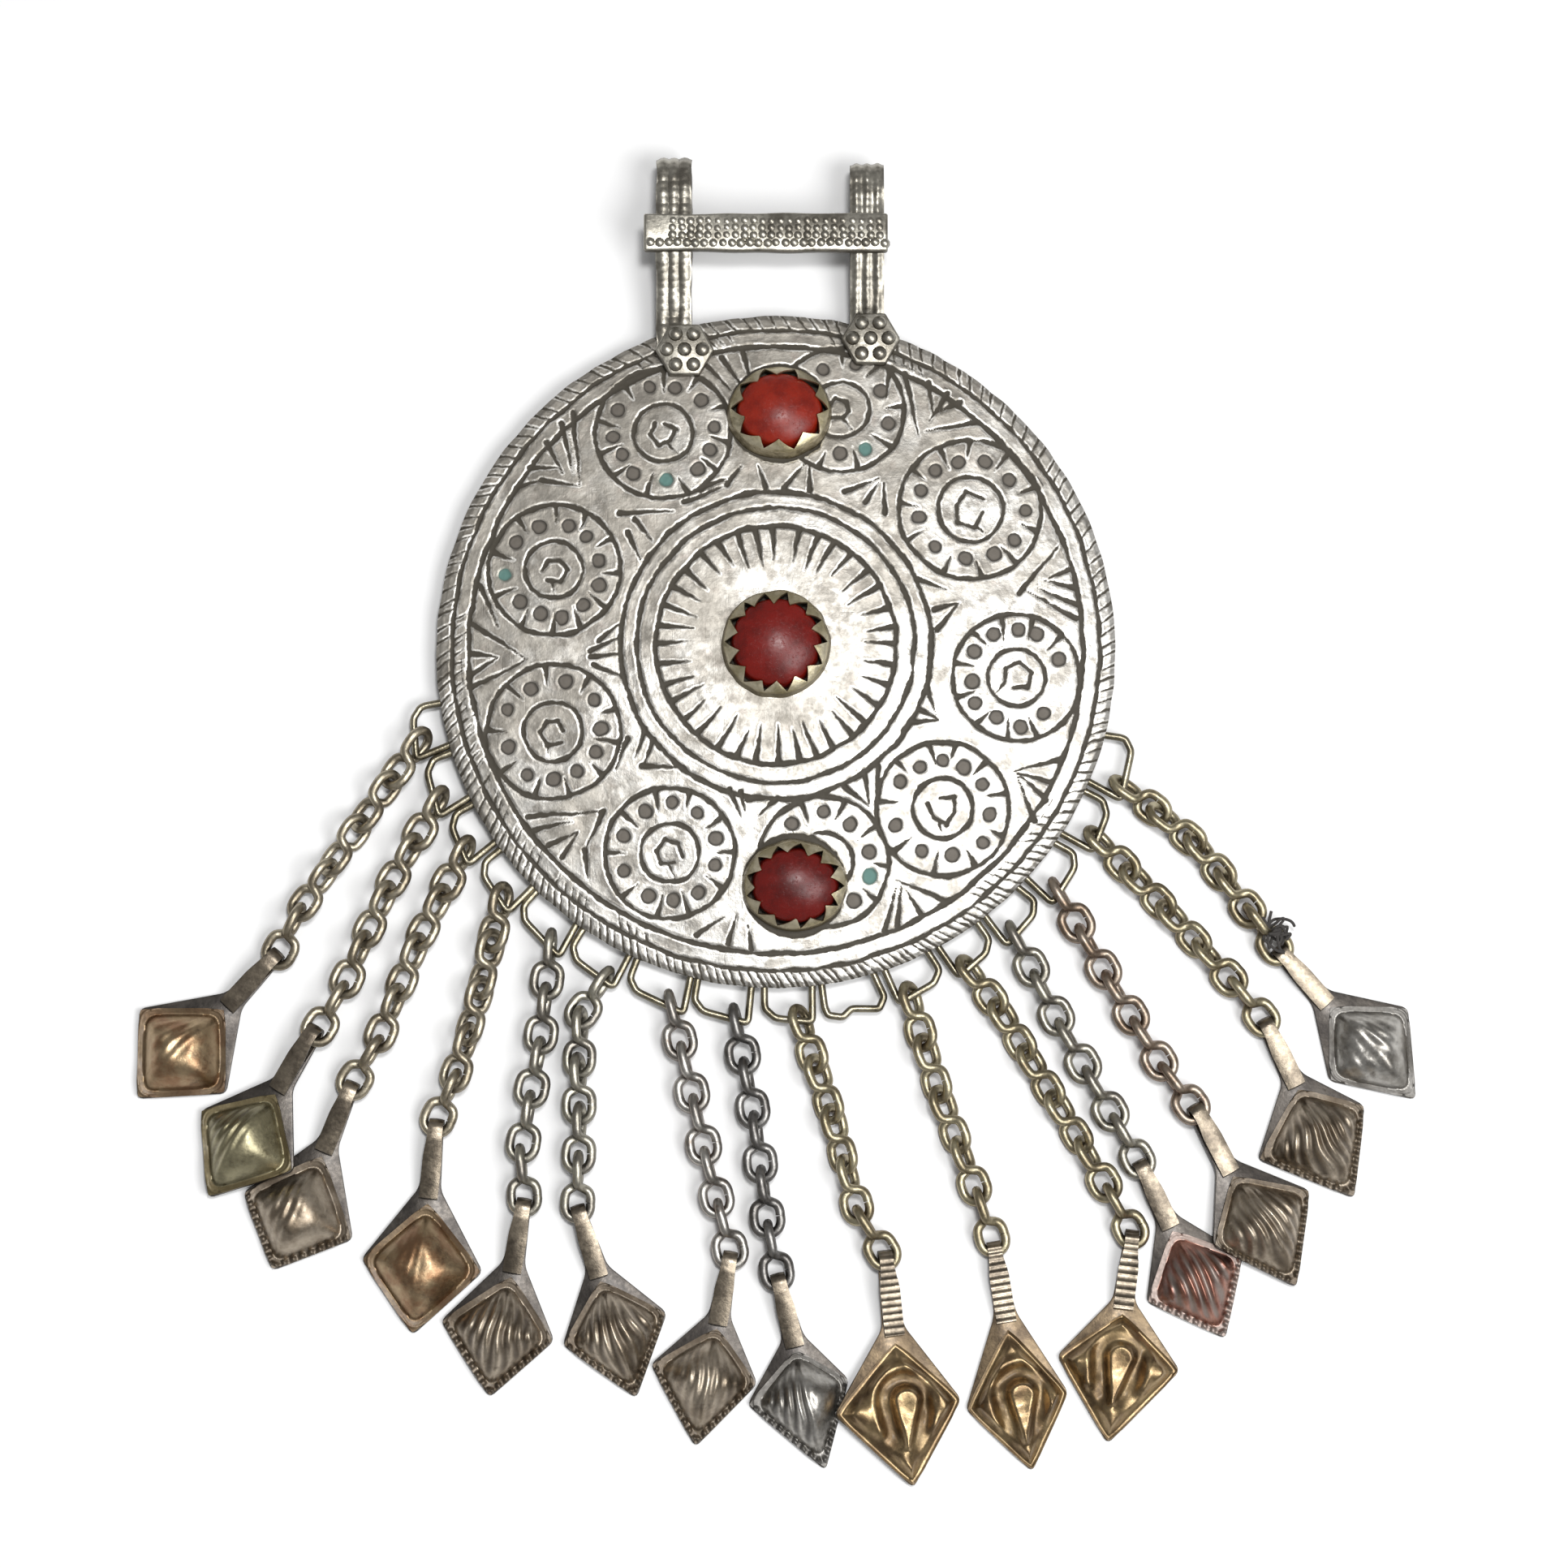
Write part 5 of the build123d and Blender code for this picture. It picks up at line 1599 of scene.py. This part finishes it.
# %% Thread scrap
THREAD = 0.36
THREAD_TURNS = 7
SNAG = (58.6, -33.6, 3.0)
SNAG_REACH = 2.6
rng = np.random.default_rng(19)
strands = []
for _ in range(THREAD_TURNS):
    turns = np.cumsum(rng.normal(0, 1.0, (9, 2)), axis=0)
    turns = np.clip(turns - turns.mean(axis=0), -SNAG_REACH, SNAG_REACH)
    strands.append([(SNAG[0] + u, SNAG[1] + v, SNAG[2] + rng.uniform(-0.9, 0.9))
                    for u, v in turns])
material, _, shader = new_material("dark_grey_thread", Roughness=0.9)
shader.inputs["Base Color"].default_value = linear("#3b3836")
bm = bmesh.new()
bend_wires(bm, strands, THREAD, sides=6, fine=6)
thread = make_piece(bm, "thread_scrap", material, None)
print("the thread has", len(thread.data.polygons), "faces")

# %% [markdown]
# The pendant lies on a plain pale ground, seen from almost straight above. A
# small soft light stands over the lens, a little to the hanger's side, and a
# broad one fills in from the lower right, so the shadows are short and pale.
# Metal shows what is round it, so the room is kept darker than the lit ground.

# %% Ground, light and camera
GROUND_HALF = 2.0
SOFT_LIGHTS = {
    "key": ((0.05, 0.07, 0.64), 0.09, 2.0),
    "fill": ((0.28, -0.16, 0.50), 0.32, 2.4),
}
ROOM_LIGHT = 0.3
SENSOR = 36


def plain_ground():
    """A pale matt sheet, far larger than the picture."""
    bm = bmesh.new()
    bmesh.ops.create_grid(bm, x_segments=1, y_segments=1, size=GROUND_HALF)
    mesh = bpy.data.meshes.new("ground")
    bm.to_mesh(mesh)
    bm.free()
    ground = add_object("ground", mesh)
    material, _, shader = new_material("white_card", Roughness=0.9)
    shader.inputs["Base Color"].default_value = linear("#f4f4f4")
    mesh.materials.append(material)
    ground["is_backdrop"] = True


def soft_light(name, place, size, power):
    """A square soft box that faces the pendant."""
    light = bpy.data.lights.new(name, "AREA")
    light.size = size
    light.energy = power
    lamp = add_object(name, light)
    lamp.location = place
    lamp.rotation_euler = (-Vector(place)).to_track_quat("-Z", "Y").to_euler()


plain_ground()
for name, (place, size, power) in SOFT_LIGHTS.items():
    soft_light(name, place, size, power)
world = bpy.data.worlds.new("room")
world.use_nodes = True
world.node_tree.nodes["Background"].inputs["Color"].default_value = (1, 1, 1, 1)
world.node_tree.nodes["Background"].inputs["Strength"].default_value = ROOM_LIGHT
bpy.context.scene.world = world
bpy.context.scene.view_settings.view_transform = "Standard"

PICTURE = 1932
MM_PER_PIXEL = 0.0952
DISC_PIXEL = (956, 797)
CAMERA_ELEVATION = 83
CAMERA_DISTANCE = 0.55
aim = DISC_CENTRE + Vector(((PICTURE / 2 - DISC_PIXEL[0]) * MM_PER_PIXEL * MM,
                            (DISC_PIXEL[1] - PICTURE / 2) * MM_PER_PIXEL * MM, 0.003))
back = Vector((0, -cos(radians(CAMERA_ELEVATION)), sin(radians(CAMERA_ELEVATION))))
lens = bpy.data.cameras.new("camera")
lens.sensor_width = SENSOR
lens.lens = SENSOR * CAMERA_DISTANCE / (PICTURE * MM_PER_PIXEL * MM)
camera = add_object("camera", lens)
camera.location = aim + back * CAMERA_DISTANCE
camera.rotation_euler = (-back).to_track_quat("-Z", "Y").to_euler()
bpy.context.scene.camera = camera
print(f"lens {lens.lens:.1f} mm at {CAMERA_DISTANCE} m")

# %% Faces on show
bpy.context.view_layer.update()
faces = sum(len(o.data.polygons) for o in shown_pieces() if o.type == "MESH")
print(faces, "faces on show")
